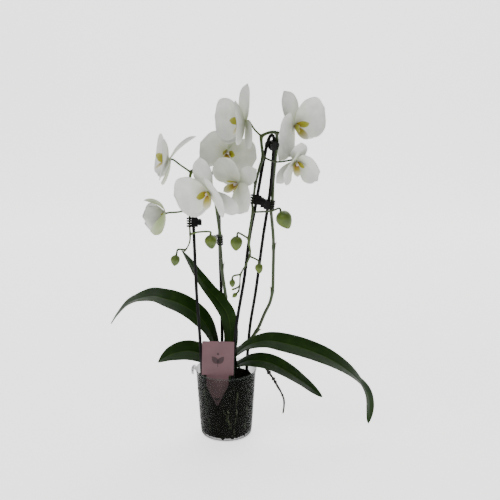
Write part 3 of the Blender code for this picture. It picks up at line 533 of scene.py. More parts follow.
def bark_material(name, dark, light):
    made, tree, shader = shader_of(name, dark, 0.8)
    shader.inputs["Specular IOR Level"].default_value = 0.0
    where = place_of(tree)
    grain = noise(tree, where, 240.0, 5.0)
    patches = noise(tree, where, 60.0, 2.0)
    tone = blend_colours(tree, patches, dark, light)
    fleck = ramp(tree, grain, ((0.42, (0.25, 0.25, 0.25)), (0.62, (1.0, 1.0, 1.0))))
    tree.links.new(blend_colours(tree, 0.8, tone, fleck, 'MULTIPLY'), shader.inputs["Base Color"])
    tint(tree, shader, patches, ((0.3, 0.45), (0.7, 0.9)), "Roughness")
    relief(tree, shader, grain, 0.35)
    return made


bark_look = bark_material("wet_pine_bark", (0.005, 0.005, 0.004), (0.030, 0.028, 0.020))
bed_profile = [(0, BED_FLOOR), (POT_BASE - POT_CORNER - 0.002, BED_FLOOR)]
for share in np.linspace(0.06, 1.0, 12):
    level = (BARK_TOP - BED_SETTLED) * share
    bed_profile.append((wall_radius(level) - BARK_GAP, level))
for share in np.linspace(0.92, 0.0, 9):
    bed_profile.append(((wall_radius(BARK_TOP) - BARK_GAP) * share,
                        BARK_TOP - 0.0045 + 0.0012 * math.sin(share * 21)))
bed = turned("potting_bark_bed", bed_profile, BED_SIDES, closed=False)
slot = slab("label_slot", [(-TONGUE_HALF - SLOT_GAP, LABEL_FOOT), (-TONGUE_HALF - SLOT_GAP, LABEL_SHOULDER),
                           (0, LABEL_TIP - 2 * SLOT_GAP), (TONGUE_HALF + SLOT_GAP, LABEL_SHOULDER),
                           (TONGUE_HALF + SLOT_GAP, LABEL_FOOT)], SLOT_FRONT, SLOT_BACK)
cut_away(bed, slot)
settle(bed, bark_look, "plant", "bark", "potting_bark")
chip_slot = {"slot_centre": LABEL_X, "slot_half": TONGUE_HALF + 2 * SLOT_GAP,
             "slot_tip": LABEL_TIP - 3 * SLOT_GAP, "slot_shoulder": LABEL_SHOULDER}

side_profile = [(wall_radius(level) - BARK_GAP - 0.0004, level)
                for level in np.linspace(0.009, BARK_TOP - 0.005, 10)]
chips = turned("potting_bark_chips", side_profile, BED_SIDES, closed=False)
grow(chips, CHIP_TREE, density=CHIPS_BY_SIDE, seed=3, length=CHIP_LENGTH, finish=bark_look, **chip_slot)
settle(chips, None, "plant", "bark")
top_profile = [((wall_radius(BARK_TOP) - BARK_GAP - 0.002) * share, BARK_TOP - 0.0030)
               for share in np.linspace(1, 0, 6)]
top_chips = turned("potting_bark_top_chips", top_profile, 48, closed=False)
grow(top_chips, CHIP_TREE, density=CHIPS_ON_TOP, seed=11, length=CHIP_LENGTH, finish=bark_look, **chip_slot)
settle(top_chips, None, "plant", "bark")


def smooth_path(points, count):
    """A Catmull-Rom curve through the points, read at equal steps of its length."""
    points = np.asarray(points, float)
    padded = np.vstack([2 * points[0] - points[1], points, 2 * points[-1] - points[-2]])
    dense = []
    for i in range(1, len(padded) - 2):
        a, b, c, d = padded[i - 1:i + 3]
        for t in np.linspace(0, 1, 16, endpoint=False):
            dense.append(0.5 * (2 * b + (c - a) * t + (2 * a - 5 * b + 4 * c - d) * t ** 2
                                + (3 * b - a - 3 * c + d) * t ** 3))
    dense = np.array([*dense, padded[-2]])
    run = np.concatenate([[0], np.cumsum(np.linalg.norm(np.diff(dense, axis=0), axis=1))])
    steps = np.linspace(0, run[-1], count)
    return np.column_stack([np.interp(steps, run, dense[:, k]) for k in range(3)])


def sleeve_tree():
    """Round sleeves along the edges of a piece, as thick as its 'girth' says."""
    tree, given, result = new_tree("sleeve_along_path", (("Sides", "Int"), ("Finish", "Material")))
    link = tree.links.new
    line = tree.nodes.new("GeometryNodeMeshToCurve")
    link(given.outputs["Geometry"], line.inputs["Mesh"])
    girth = tree.nodes.new("GeometryNodeInputNamedAttribute")
    girth.data_type = 'FLOAT'
    girth.inputs["Name"].default_value = "girth"
    ring = tree.nodes.new("GeometryNodeCurvePrimitiveCircle")
    ring.inputs["Radius"].default_value = 1.0
    link(given.outputs["Sides"], ring.inputs["Resolution"])
    skin = tree.nodes.new("GeometryNodeCurveToMesh")
    skin.inputs["Fill Caps"].default_value = True
    link(line.outputs[0], skin.inputs["Curve"])
    link(girth.outputs["Attribute"], skin.inputs["Scale"])
    link(ring.outputs["Curve"], skin.inputs["Profile Curve"])
    smooth = tree.nodes.new("GeometryNodeSetShadeSmooth")
    link(skin.outputs[0], smooth.inputs[0])
    return ended(tree, smooth.outputs[0], given, result)


SLEEVES = sleeve_tree()


def sleeves(name, runs, look, sides=12):
    """One piece of round sleeves along runs of (path, radii)."""
    points = np.vstack([path for path, radii in runs])
    girth = np.concatenate([np.broadcast_to(radii, len(path)) for path, radii in runs])
    edges, start = [], 0
    for path, radii in runs:
        edges += [(start + k, start + k + 1) for k in range(len(path) - 1)]
        start += len(path)
    made = plain_mesh(name, points, [])
    made.data.clear_geometry()
    made.data.from_pydata([tuple(map(float, p)) for p in points], edges, [])
    made.data.attributes.new("girth", 'FLOAT', 'POINT').data.foreach_set("value", girth.astype(np.float32))
    grow(made, SLEEVES, sides=sides, finish=look)
    face_out(made, 60)
    return made


def rounded(radii, path):
    """Radii that close in a round end at both ends of a path."""
    radii = np.array(np.broadcast_to(radii, len(path)), float)
    run = np.concatenate([[0], np.cumsum(np.linalg.norm(np.diff(path, axis=0), axis=1))])
    for away in (run, run[-1] - run):
        share = np.clip(away / radii, 0, 1)
        radii = radii * np.sqrt(np.clip(1 - (1 - share) ** 2, 0.02, 1))
    return radii


root_look, tree, shader = shader_of("silvery_root", (0.05, 0.06, 0.04), 0.6)
shader.inputs["Specular IOR Level"].default_value = 0.1
where = place_of(tree)
fibre = noise(tree, where, 90.0, 3.0)
tint(tree, shader, fibre, ((0.35, (0.020, 0.024, 0.014)), (0.55, (0.070, 0.085, 0.040)),
                           (0.75, (0.16, 0.17, 0.11))))
relief(tree, shader, noise(tree, where, 400.0, 2.0), 0.4)
draw = np.random.default_rng(7)
buried = []
for number in range(ROOTS_SHOWN):
    heading = math.radians(-96 + 36 * number + draw.uniform(-10, 10))
    drift = draw.uniform(-0.35, 0.35)
    behind_label = math.sin(heading) < 0 and abs(POT_TOP * math.cos(heading) - LABEL_X) < TONGUE_HALF
    start = LABEL_TIP - 0.004 if behind_label else BARK_TOP - 0.012
    levels = np.linspace(start, draw.uniform(0.008, 0.03), 7)
    stations = []
    for k, level in enumerate(levels):
        angle = heading + drift * k / 6 + draw.uniform(-0.06, 0.06)
        reach = wall_radius(level) - POT_WALL - BURIED_DEPTH
        stations.append((reach * math.cos(angle), reach * math.sin(angle), level))
    path = smooth_path(stations, ROOT_POINTS)
    buried.append((path, rounded(BURIED_RADIUS - BURIED_TAPER * np.linspace(0, 1, ROOT_POINTS), path)))
settle(sleeves("buried_roots", buried, root_look), None, "plant", "root_grey")

# ---------------------------------------------------------------- stick-in label
# A sheet of tinted plastic, cut with shoulders that rest on the rim and a pointed tongue
# inside the wall, and printed with a plain sprig in a darker ink.
def corner_arc(x, z, radius, start, steps=5):
    return [(x + radius * math.cos(math.radians(start + 90 * k / steps)),
             z + radius * math.sin(math.radians(start + 90 * k / steps))) for k in range(steps + 1)]


LABEL_CORNER = 0.0022
LABEL_EDGE = 0.00015
SPRIG_HEADINGS = (52, 128)
SPRIG_LEAF, SPRIG_FORK = (0.019, 0.0115), LABEL_TOP - 0.046
TIP_LEAF, TIP_FORK = (0.009, 0.0045), LABEL_TIP + 0.012
SPRIG_FOOT, SPRIG_HEAD, SPRIG_HALF = LABEL_TOP - 0.053, LABEL_TOP - 0.044, 0.0006
DOT_HEIGHT, DOT_RADIUS = LABEL_TOP - 0.026, 0.0024
INK_FRONT, INK_BACK = -LABEL_THICK / 2 - 0.00012, -LABEL_THICK / 2 + 0.0001
label_outline = [*corner_arc(LABEL_HALF - LABEL_CORNER, LABEL_TOP - LABEL_CORNER, LABEL_CORNER, 0),
                 *corner_arc(-LABEL_HALF + LABEL_CORNER, LABEL_TOP - LABEL_CORNER, LABEL_CORNER, 90),
                 (-LABEL_HALF, LABEL_FOOT), (-TONGUE_HALF, LABEL_FOOT), (-TONGUE_HALF, LABEL_SHOULDER),
                 (-0.0012, LABEL_TIP), (0.0012, LABEL_TIP), (TONGUE_HALF, LABEL_SHOULDER),
                 (TONGUE_HALF, LABEL_FOOT), (LABEL_HALF, LABEL_FOOT)]
label = slab("pot_label_sheet", label_outline, -LABEL_THICK / 2, LABEL_THICK / 2, LABEL_EDGE)
label_look, tree, shader = shader_of("tinted_label_plastic", (0.20, 0.09, 0.11), 0.42)
where = place_of(tree)
cloud = noise(tree, where, 26.0, 2.0)
tint(tree, shader, cloud, ((0.3, (0.085, 0.030, 0.037)), (0.7, (0.115, 0.043, 0.053))))
tint(tree, shader, noise(tree, where, 200.0), ((0.3, 0.36), (0.7, 0.52)), "Roughness")
relief(tree, shader, noise(tree, where, 500.0, 2.0), 0.08)
settle(label, label_look, "plant", "label_plastic", "pot_label")

ink_look, tree, shader = shader_of("dark_label_ink", (0.010, 0.001, 0.003), 0.6)
tint(tree, shader, noise(tree, place_of(tree), 300.0), ((0.3, (0.018, 0.002, 0.005)),
                                                       (0.7, (0.034, 0.006, 0.010))))


def ink_leaf(x, z, length, width, heading):
    """The outline of one printed leaf that grows from a point."""
    heading = math.radians(heading)
    c, s = math.cos(heading), math.sin(heading)
    edge = [(share * length, width * math.sin(math.pi * share ** 0.8) / 2)
            for share in np.linspace(0, 1, 12)]
    return [(x + a * c - b * s, z + a * s + b * c) for a, b in edge + [(a, -b) for a, b in edge[-2:0:-1]]]


sprig = [ink_leaf(0, SPRIG_FORK, *SPRIG_LEAF, heading) for heading in SPRIG_HEADINGS]
sprig.append([(-SPRIG_HALF, SPRIG_FOOT), (SPRIG_HALF, SPRIG_FOOT),
              (SPRIG_HALF, SPRIG_HEAD), (-SPRIG_HALF, SPRIG_HEAD)])
sprig.append([(DOT_RADIUS * math.cos(angle), DOT_HEIGHT + DOT_RADIUS * math.sin(angle))
              for angle in np.linspace(0, 2 * math.pi, 20, endpoint=False)])
sprig += [ink_leaf(0, TIP_FORK, *TIP_LEAF, heading) for heading in SPRIG_HEADINGS]
for number, outline in enumerate(sprig, 1):
    settle(slab(f"label_print_{number}", outline, INK_FRONT, INK_BACK), ink_look, "plant", "label_plastic")

# ---------------------------------------------------------------- leaves and crown
# Thick waxy strap leaves, folded along a sunken midrib, stand in two ranks on a short
# stem. They are satin, dark on top and a little paler beneath.
LEAF_THICK = 0.0020
LEAF_FOLD = 0.16
LEAF_ROWS = 108
SHEATH_ROWS = 14
LEAF_COLUMNS = 23


def mm(*points):
    return np.array(points, float) / 1000.0


def unit(vector):
    vector = np.asarray(vector, float)
    return vector / np.linalg.norm(vector)


def sheets(name, grids):
    """Closed thin sheets from pairs of front and back grids, with a UV map along them.

    The map runs across (0 to 1) and along (0 to 1), and 'outer' is 1 on the back.
    """
    points, faces, uvs, outer = [], [], [], []
    for front, back in grids:
        rows, columns = front.shape[:2]
        faces += sheet_faces(rows, columns, len(points))
        points += [*front.reshape(-1, 3), *back.reshape(-1, 3)]
        outer += [0.0] * (rows * columns) + [1.0] * (rows * columns)
        grid_uv = [(j / (columns - 1), i / (rows - 1)) for i in range(rows) for j in range(columns)]
        uvs += grid_uv + grid_uv
    made = plain_mesh(name, points, faces)
    mesh = made.data
    mesh.attributes.new("outer", 'FLOAT', 'POINT').data.foreach_set("value", np.array(outer, np.float32))
    layer = mesh.uv_layers.new(name="along")
    corners = np.array([uvs[loop.vertex_index] for loop in mesh.loops], np.float32)
    layer.data.foreach_set("uv", corners.ravel())
    edit = bmesh.new()
    edit.from_mesh(mesh)
    bmesh.ops.recalc_face_normals(edit, faces=edit.faces)
    edit.to_mesh(mesh)
    edit.free()
    mesh.shade_smooth()
    return made


LEAVES = {
    "leaf_upper_left": (mm((-18, 4, 176), (-27, 6, 203), (-41, 8, 230), (-65, 6, 255),
                           (-90, 2, 272), (-116, -3, 283), (-145, -8, 291),
                           (-184, -14, 281), (-209, -18, 257), (-222, -20, 238)),
                        50, (24, 46, 32, 0, -4), 0.52),
    "leaf_lower_left": (mm((-12, 1, 145), (-30, 3, 157), (-57, 4, 169), (-79, 2, 173),
                           (-104, -2, 169), (-122, -5, 161), (-134, -6, 152)),
                        48, (14, 34, 34, 24, 16), 0.52),
    "leaf_middle": (mm((10, 3, 199), (9, 4, 222), (3, 3, 250), (-14, 1, 278),
                       (-30, 0, 298), (-52, 0, 329), (-67, -3, 355), (-83, -8, 382)),
                    33, (84, 72, 40, 28, 22), 0.84),
    "leaf_upper_right": (mm((22, 3, 168), (42, -2, 186), (70, -7, 197), (96, -10, 198),
                            (145, -14, 187), (195, -16, 168), (234, -18, 145),
                            (260, -20, 122), (279, -22, 94), (285, -22, 62), (283, -22, 28)),
                         50, (-14, -32, -22, 2, -60), 0.52),
    "leaf_lower_right": (mm((20, -5, 146), (47, -18, 161), (82, -32, 163), (115, -42, 151),
                            (150, -49, 129), (188, -54, 99)),
                         44, (-14, -24, -16, -6, -10), 0.56),
}
LEAF_SHEATHS = {
    "leaf_upper_left": mm((5, 3, 138), (-4, 3, 158)),
    "leaf_lower_left": mm((4, 0, 128), (-3, 0, 140)),
    "leaf_middle": mm((7, 2, 140), (6, 3, 170)),
    "leaf_upper_right": mm((8, 3, 136), (14, 3, 153)),
    "leaf_lower_right": mm((8, -3, 128), (13, -4, 138)),
}


def leaf_width(s, base):
    """Half of a leaf's width, as a share of its greatest, from base (0) to tip (1)."""
    rise = base + (1 - base) * math.sin(math.pi / 2 * min(1.0, s / 0.45))
    fall = max(0.0, 1 - max(0.0, (s - 0.55) / 0.45) ** 2.2) ** 0.75
    return rise * fall * 0.985 + 0.015


def leaf_grids(sheath, midrib, width, rolls, base):
    """Front and back grids of one leaf, from inside the crown to its tip."""
    blade = smooth_path(midrib, LEAF_ROWS - SHEATH_ROWS)
    into_crown = smooth_path([*sheath, midrib[0], midrib[1]], 60)
    nearest = int(np.argmin(np.linalg.norm(into_crown - midrib[0], axis=1)))
    rows = np.linspace(0, nearest, SHEATH_ROWS, endpoint=False).astype(int)
    path = np.vstack([into_crown[rows], blade])
    tangents = np.gradient(path, axis=0)
    sideways = unit(np.cross((midrib[-1] - midrib[0]) * (1, 1, 0), (0, 0, 1)))
    front = np.zeros((LEAF_ROWS, LEAF_COLUMNS, 3))
    back = front.copy()
    for i, (centre, tangent) in enumerate(zip(path, tangents)):
        s = max(0.0, (i - SHEATH_ROWS) / (LEAF_ROWS - 1 - SHEATH_ROWS))
        clasp = max(0.0, 1 - i / SHEATH_ROWS)
        tangent = unit(tangent)
        level = unit(sideways - tangent * np.dot(sideways, tangent))
        normal = np.cross(level, tangent)
        roll = math.radians(np.interp(s, (0, 0.25, 0.5, 0.75, 1), rolls))
        across = math.cos(roll) * level + math.sin(roll) * normal
        up = np.cross(across, tangent)
        half = width / 2000.0 * leaf_width(s, base)
        for j in range(LEAF_COLUMNS):
            t = 2 * j / (LEAF_COLUMNS - 1) - 1
            lift = half * (LEAF_FOLD + 0.6 * clasp) * (abs(t) ** 1.3 - 0.4)
            lift += 0.0004 * math.sin(9 * s + 2 * t) * t * t
            groove = 0.0007 * math.exp(-(t / 0.07) ** 2) * min(1.0, 3 * (1 - s))
            edge = LEAF_THICK / 2 * (0.22 + 0.78 * (1 - t * t) ** 0.6)
            middle = centre + across * (t * half) + up * lift
            front[i, j] = middle + up * (edge - groove)
            back[i, j] = middle - up * (edge + 0.6 * groove)
    return front, back


def attribute(tree, name):
    made = tree.nodes.new("ShaderNodeAttribute")
    made.attribute_name = name
    return made.outputs["Fac"]


def along_uv(tree):
    """The two directions of a sheet's UV map: across and along."""
    layer = tree.nodes.new("ShaderNodeUVMap")
    layer.uv_map = "along"
    parts = tree.nodes.new("ShaderNodeSeparateXYZ")
    tree.links.new(layer.outputs["UV"], parts.inputs[0])
    return parts.outputs["X"], parts.outputs["Y"], layer.outputs["UV"]


leaf_look, tree, shader = shader_of("waxy_leaf", (0.02, 0.06, 0.01), 0.52)
shader.inputs["Specular IOR Level"].default_value = 0.10
where = place_of(tree)
across, _, uv = along_uv(tree)
mottle = noise(tree, where, 45.0, 4.0)
top_tone = ramp(tree, mottle, ((0.25, (0.004, 0.016, 0.0006)), (0.55, (0.008, 0.026, 0.001)),
                               (0.8, (0.015, 0.040, 0.002))))
under_tone = ramp(tree, mottle, ((0.25, (0.008, 0.020, 0.002)), (0.75, (0.016, 0.034, 0.004))))
tone = blend_colours(tree, attribute(tree, "outer"), top_tone, under_tone)
from_rib = compute(tree, 'ABSOLUTE', compute(tree, 'SUBTRACT', across, 0.5))
rib = ramp(tree, from_rib, ((0.0, 1.0), (0.035, 0.0)))
tone = blend_colours(tree, compute(tree, 'MULTIPLY', rib, 0.55), tone, (0.035, 0.070, 0.010))
rim = ramp(tree, from_rib, ((0.47, 0.0), (0.5, 1.0)))
tone = blend_colours(tree, compute(tree, 'MULTIPLY', rim, 0.4), tone, (0.025, 0.040, 0.008))
tree.links.new(tone, shader.inputs["Base Color"])
streaks = noise(tree, uv, 3.0, 3.0, (40, 1.2, 1))
tint(tree, shader, mottle, ((0.3, 0.44), (0.7, 0.58)), "Roughness")
relief(tree, shader, streaks, 0.18, 0.0006)
for node, values in LEAVES.items():
    blade = sheets(node + "_blade", [leaf_grids(LEAF_SHEATHS[node], *values)])
    settle(blade, leaf_look, "plant", "leaf_green", node)

CROWN_X, CROWN_RADIUS, CROWN_DEPTH, CROWN_HEIGHT = 0.0060, 0.0090, 0.0150, 0.0700
CROWN_SUNK, CROWN_FOLDS, CROWN_SIDES = 0.004, 24, 40
crown_base = BARK_TOP - CROWN_SUNK
crown_profile = [(0, crown_base)]
for share in np.linspace(0, 1, 36):
    fold = 0.05 * max(0.0, math.sin(share * CROWN_FOLDS)) ** 3
    girth = 1.22 - 0.62 * share ** 2.2 + fold
    crown_profile.append((girth * math.sqrt(max(0.0, 1 - max(0.0, (share - 0.86) / 0.14) ** 2)) + 0.001,
                          crown_base + (CROWN_HEIGHT + CROWN_SUNK) * share))
crown_profile.append((0, crown_base + CROWN_HEIGHT + 0.0042))
crown = turned("crown_stem", crown_profile, CROWN_SIDES, closed=False)
for vertex in crown.data.vertices:
    vertex.co.x = vertex.co.x * CROWN_RADIUS + CROWN_X
    vertex.co.y = vertex.co.y * CROWN_DEPTH
crown_look, tree, shader = shader_of("crown_green", (0.03, 0.06, 0.012), 0.5)
where = place_of(tree)
bands = noise(tree, where, 120.0, 3.0, (0.3, 0.3, 1))
tint(tree, shader, bands, ((0.3, (0.018, 0.040, 0.006)), (0.6, (0.040, 0.070, 0.014)),
                           (0.8, (0.075, 0.085, 0.030))))
relief(tree, shader, bands, 0.3)
settle(crown, crown_look, "plant", "leaf_green", "crown")

# ---------------------------------------------------------------- aerial root
# A root that grew out over the rim into the air and dried: knobbly where it stopped and
# started, thinner towards its brittle tip.
ROOT_RADIUS, ROOT_STEPS = 0.0027, 170
ROOT_KNOBS = ((0.40, 0.5), (0.47, 0.75), (0.56, 0.9), (0.60, 0.5), (0.78, 0.25))
ROOT_ROUTE = mm((20, 12, 137), (42, 13, 144), (57, 19, 148), (67, 26, 143), (75, 31, 133),
                (81, 32, 122), (89, 33, 109), (96, 34, 98), (103, 35, 84), (110, 36, 71),
                (116, 37, 55), (117, 38, 40), (115, 38, 22))
path = smooth_path(ROOT_ROUTE, ROOT_STEPS)
s = np.linspace(0, 1, len(path))
knobs = 1.1 - 0.45 * s + 0.30 * np.sin(s * 31) * (1 - s)
for place, size in ROOT_KNOBS:
    knobs = knobs + size * np.exp(-((s - place) / 0.011) ** 2)
root = sleeves("aerial_root_strand", [(path, rounded(ROOT_RADIUS * knobs, path))], None, 16)
dry_look, tree, shader = shader_of("dry_root_skin", (0.03, 0.03, 0.025), 0.85)
where = place_of(tree)
skin = noise(tree, where, 150.0, 5.0)
tint(tree, shader, skin, ((0.35, (0.010, 0.010, 0.009)), (0.55, (0.030, 0.030, 0.026)),
                          (0.75, (0.10, 0.10, 0.085))))
relief(tree, shader, skin, 0.8)
settle(root, dry_look, "plant", "root_grey", "aerial_root")

# ---------------------------------------------------------------- support wires
# Two bows of steel wire in a black plastic coat, bent over at the top, with both ends
# pushed deep into the bark.
WIRE_RADIUS = 0.0031
WIRE_BURIED = 0.0450
WIRE_STEPS = 260
BOW_LEFT = mm((-47, -20, 128), (-50, -21, 210), (-55, -23, 300), (-58, -23, 400),
              (-59, -20, 450), (-54, -12, 484), (-42, -3, 502), (-28, 5, 502),
              (-17, 11, 484), (-12, 16, 450), (-11, 18, 375), (-9, 19, 290),
              (-8, 20, 210), (-8, 20, 128))
BOW_RIGHT = mm((13, -32, 128), (21, -32, 235), (36, -28, 329), (46, -24, 408),
               (60, -18, 484), (69, -13, 536), (76, -9, 573), (81, -7, 594),
               (87, -2, 604), (92, 4, 598), (92, 8, 580), (90, 13, 545),
               (86, 18, 495), (80, 22, 450), (72, 25, 394), (59, 26, 291),
               (47, 26, 212), (41, 26, 128))


def black_plastic(name, roughness, patches, light, gloss_scale, gloss, grain_scale, grain):
    """Near-black plastic with faint patches, uneven gloss and a fine moulded grain."""
    made, tree, shader = shader_of(name, (0.003, 0.003, 0.003), roughness)
    shader.inputs["Specular IOR Level"].default_value = 0.10
    where = place_of(tree)
    tint(tree, shader, noise(tree, where, patches), ((0.3, 0.001), (0.7, light)))
    tint(tree, shader, noise(tree, where, gloss_scale), ((0.3, gloss[0]), (0.7, gloss[1])), "Roughness")
    relief(tree, shader, noise(tree, where, grain_scale), grain)
    return made


wire_look = black_plastic("black_wire_coat", 0.5, 70.0, 0.004, 160.0, (0.32, 0.55), 500.0, 0.12)
for node, route in (("support_bow_left", BOW_LEFT), ("support_bow_right", BOW_RIGHT)):
    down = np.array([0, 0, WIRE_BURIED])
    path = smooth_path([route[0] - down, *route, route[-1] - down], WIRE_STEPS)
    wire = sleeves(node + "_wire", [(path, rounded(WIRE_RADIUS, path))], wire_look, 16)
    settle(wire, None, "plant", "wire_coating", node)

# ---------------------------------------------------------------- flower spikes
# Two woody green stems, clipped to the wires and hanging over at their ends. Each side stalk
# leaves a swollen joint under a small dry scale.
STEM_RADIUS = 0.0030
PEDICEL_RADIUS = 0.0018
CLEARANCE = 0.0003
CLIP_HEIGHT = 0.0170
PETAL_THICK = 0.0010
HUB_STUB = 0.007
STEM_STEPS, STALK_STEPS = 460, 40
SCALE_ROWS, SCALE_COLUMNS = 10, 9
BARE_JOINTS = (0.09, 0.20, 0.31)
CLIP_PLACES = {
    1: (BOW_LEFT, 0.442, "first", (-1, -0.15, 0)),
    2: (BOW_LEFT, 0.396, "last", (0.2, -1, 0)),
    3: (BOW_RIGHT, 0.483, "first", (-1, -0.15, 0)),
    4: (BOW_RIGHT, 0.466, "last", (1, 0.05, 0)),
    5: (BOW_RIGHT, 0.583, "last", (0.8, 0.6, 0)),
}
BUDS = (
    ((113, -26, 447), 37, 32, (0.45, -0.2, -0.9)),
    ((22, -34, 403), 29, 25, (-0.1, 0, -1)),
    ((-26, -26, 404), 28, 25, (0.1, 0, -1)),
    ((-94, -32, 369), 22, 19, (-0.2, 0, -1)),
    ((65, -31, 353), 20, 16.5, (0.1, 0, -1)),
    ((14, -33, 324), 16, 12.5, (0.0, 0, -1)),
    ((18, -33, 300), 11.5, 9.5, (-0.7, 0, -0.7)),
    ((15, -33, 312), 6, 4.5, (-0.9, 0, -0.3)),
)
FLOWERS = (
    ((-102, -22, 562), -80, -8, 0, 1.06, ((-30, -56), (-10, 40), (22, 10), (22, 10))),
    ((-112, -28, 460), -74, 8, 0, 0.90, ((-8, 104), (2, 96), (56, 104), (56, 104))),
    ((-28, -50, 506), -24, 16, -10, 1.12, ((2, -12), (11, 5), (26, 2), (46, 34))),
    ((26, -33, 519), -46, 8, 56, 0.98, ((2, -6), (4, -4), (24, 6), (24, 6))),
    ((4, 43, 563), 7, 3, 17, 0.95, ((0, -12), (2, -8), (16, -2), (17, -2))),
    ((39, -12, 631), -58, 0, -2, 1.12, ((2, -12), (12, 24), (30, 20), (48, 40))),
    ((129, -4, 622), 46, 4, -22, 1.16, ((2, -12), (6, 0), (26, 8), (26, 8))),
    ((132, -31, 559), 14, 24, 0, 0.88, ((8, 24), (18, 36), (42, 56), (42, 56))),
)


def beside(route, height, leg, direction):
    """A wire's point and direction at a height, and the stem's points next to it there."""
    points = smooth_path(route, 400)
    half = points[:200] if leg == "first" else points[200:]
    nearest = int(np.clip(np.argmin(np.abs(half[:, 2] - height)), 3, len(half) - 4))
    wire = half[nearest]
    along = unit(half[nearest + 3] - half[nearest - 3])
    along = along if along[2] > 0 else -along
    outward = unit(np.array(direction) - along * np.dot(direction, along))
    stem = wire + outward * (WIRE_RADIUS + STEM_RADIUS + 3 * CLEARANCE)
    reach = along * (CLIP_HEIGHT / 2 + 0.0015)
    return wire, along, outward, [stem - reach, stem, stem + reach]


def held(number, rising=True):
    """The stem's points inside a clip, in the order that the stem passes them."""
    points = beside(*CLIP_PLACES[number])[3]
    return points if rising else points[::-1]


def flower_axes(turn, nod, lean):
    """Directions of a flower's right, its top and its face."""
    turn, nod, lean = (math.radians(v) for v in (turn, nod, lean))
    face = np.array([math.sin(turn) * math.cos(nod), -math.cos(turn) * math.cos(nod), -math.sin(nod)])
    top = unit(np.array([0, 0, 1.0]) - face * face[2])
    right = np.cross(top, face)
    top = math.cos(lean) * top + math.sin(lean) * right
    return np.cross(top, face), top, face


def hub_back(number):
    """The last two points of a stalk, behind the middle of a flower."""
    hub, turn, nod, lean = FLOWERS[number - 1][:4]
    face = flower_axes(turn, nod, lean)[2]
    stop = np.array(hub) / 1000 - face * (PETAL_THICK * 0.6)
    return [stop - face * HUB_STUB, stop]


def bud_back(number):
    """The last two points of a stalk, in the top of a bud."""
    centre, length, _, tip = BUDS[number - 1]
    stop = np.array(centre) / 1000 - unit(tip) * (length / 2000)
    return [stop - unit(tip) * min(0.006, length / 4000), stop + unit(tip) * 0.0004]


SPIKE_LEFT = ([*mm((2, 15.5, 170), (2, 20, 176), (2, 17, 200), (1, 15, 240), (0, 15.5, 280), (-6, 12, 330)),
               *held(2), *mm((-15, 8, 450), (-20, 2.5, 486), (-28, -2, 518), (-40, -8, 536),
                             (-52, -13, 543), (-62, -19, 537), (-65, -23, 520), (-65, -24, 490)),
               *held(1, rising=False), *mm((-66, -30, 407), (-74, -31, 390), (-80, -32, 386))],
              [[*mm((-62, -19, 537), (-82, -20, 551)), *hub_back(1)],
               [*mm((-65, -24, 490), (-76, -27, 466)), *hub_back(2)],
               [*mm((-65, -23, 520), (-48, -26, 522)), *hub_back(3)],
               [*mm((-28, -2, 518), (-22, 40, 530), (-6, 60, 558)), *hub_back(5)],
               [*mm((-62, -28, 420), (-50, -28, 424)), *bud_back(3)],
               [*mm((-74, -31, 390), (-88, -32, 391)), *bud_back(4)]])
SPIKE_RIGHT = ([*mm((9, 15.5, 165), (20, 30, 165), (45, 36, 181), (63, 33, 208), (76, 31, 240),
                    (87, 30, 265), (92, 29, 292), (93, 29, 332), (93, 28, 393)), *held(4),
                *mm((92, 22, 514)), *held(5),
                *mm((97, 2, 606), (91, -4, 610), (80, -9, 609), (69, -14, 603), (69, -16, 588),
                    (71, -18, 566), (65, -21, 545), (58, -24, 518)), *held(3, rising=False),
                *mm((52.3, -25.2, 462), (45, -31, 413), (48, -33, 386), (42, -34, 366),
                    (30, -34, 343), (28, -33, 320), (26, -33, 308))],
               [[*mm((69, -14, 603), (56, -12, 616)), *hub_back(6)],
                [*mm((97, 2, 606), (106, 3, 610)), *hub_back(7)],
                [*mm((71, -18, 566), (97, -21, 557)), *hub_back(8)],
                [*mm((58, -24, 518), (50, -22, 522)), *hub_back(4)],
                [*mm((52.3, -25.2, 462), (85, -30, 465)), *bud_back(1)],
                [*mm((45, -31, 413), (28, -33, 423)), *bud_back(2)],
                [*mm((47, -33, 378), (60, -31, 371)), *bud_back(5)],
                [*mm((30, -34, 343), (18, -34, 340)), *bud_back(6)],
                [*mm((28, -33, 318), (24, -33, 316)), *bud_back(8)],
                [*mm((26, -33, 309), (25, -33, 307)), *bud_back(7)]])


def scale_grids(foot, axis, outward, girth, length):
    """One dry scale that wraps a joint and points along the stem."""
    side = np.cross(axis, outward)
    front = np.zeros((SCALE_ROWS, SCALE_COLUMNS, 3))
    back = front.copy()
    for i in range(SCALE_ROWS):
        s = i / (SCALE_ROWS - 1)
        spread = math.radians(82) * (1 - s ** 1.6) + 0.04
        for j in range(SCALE_COLUMNS):
            angle = (2 * j / (SCALE_COLUMNS - 1) - 1) * spread
            ray = math.cos(angle) * outward + math.sin(angle) * side
            base = foot + axis * length * s + outward * (0.25 * length * s ** 3)
            front[i, j] = base + ray * (girth + 0.00030)
            back[i, j] = base + ray * girth
    return front, back


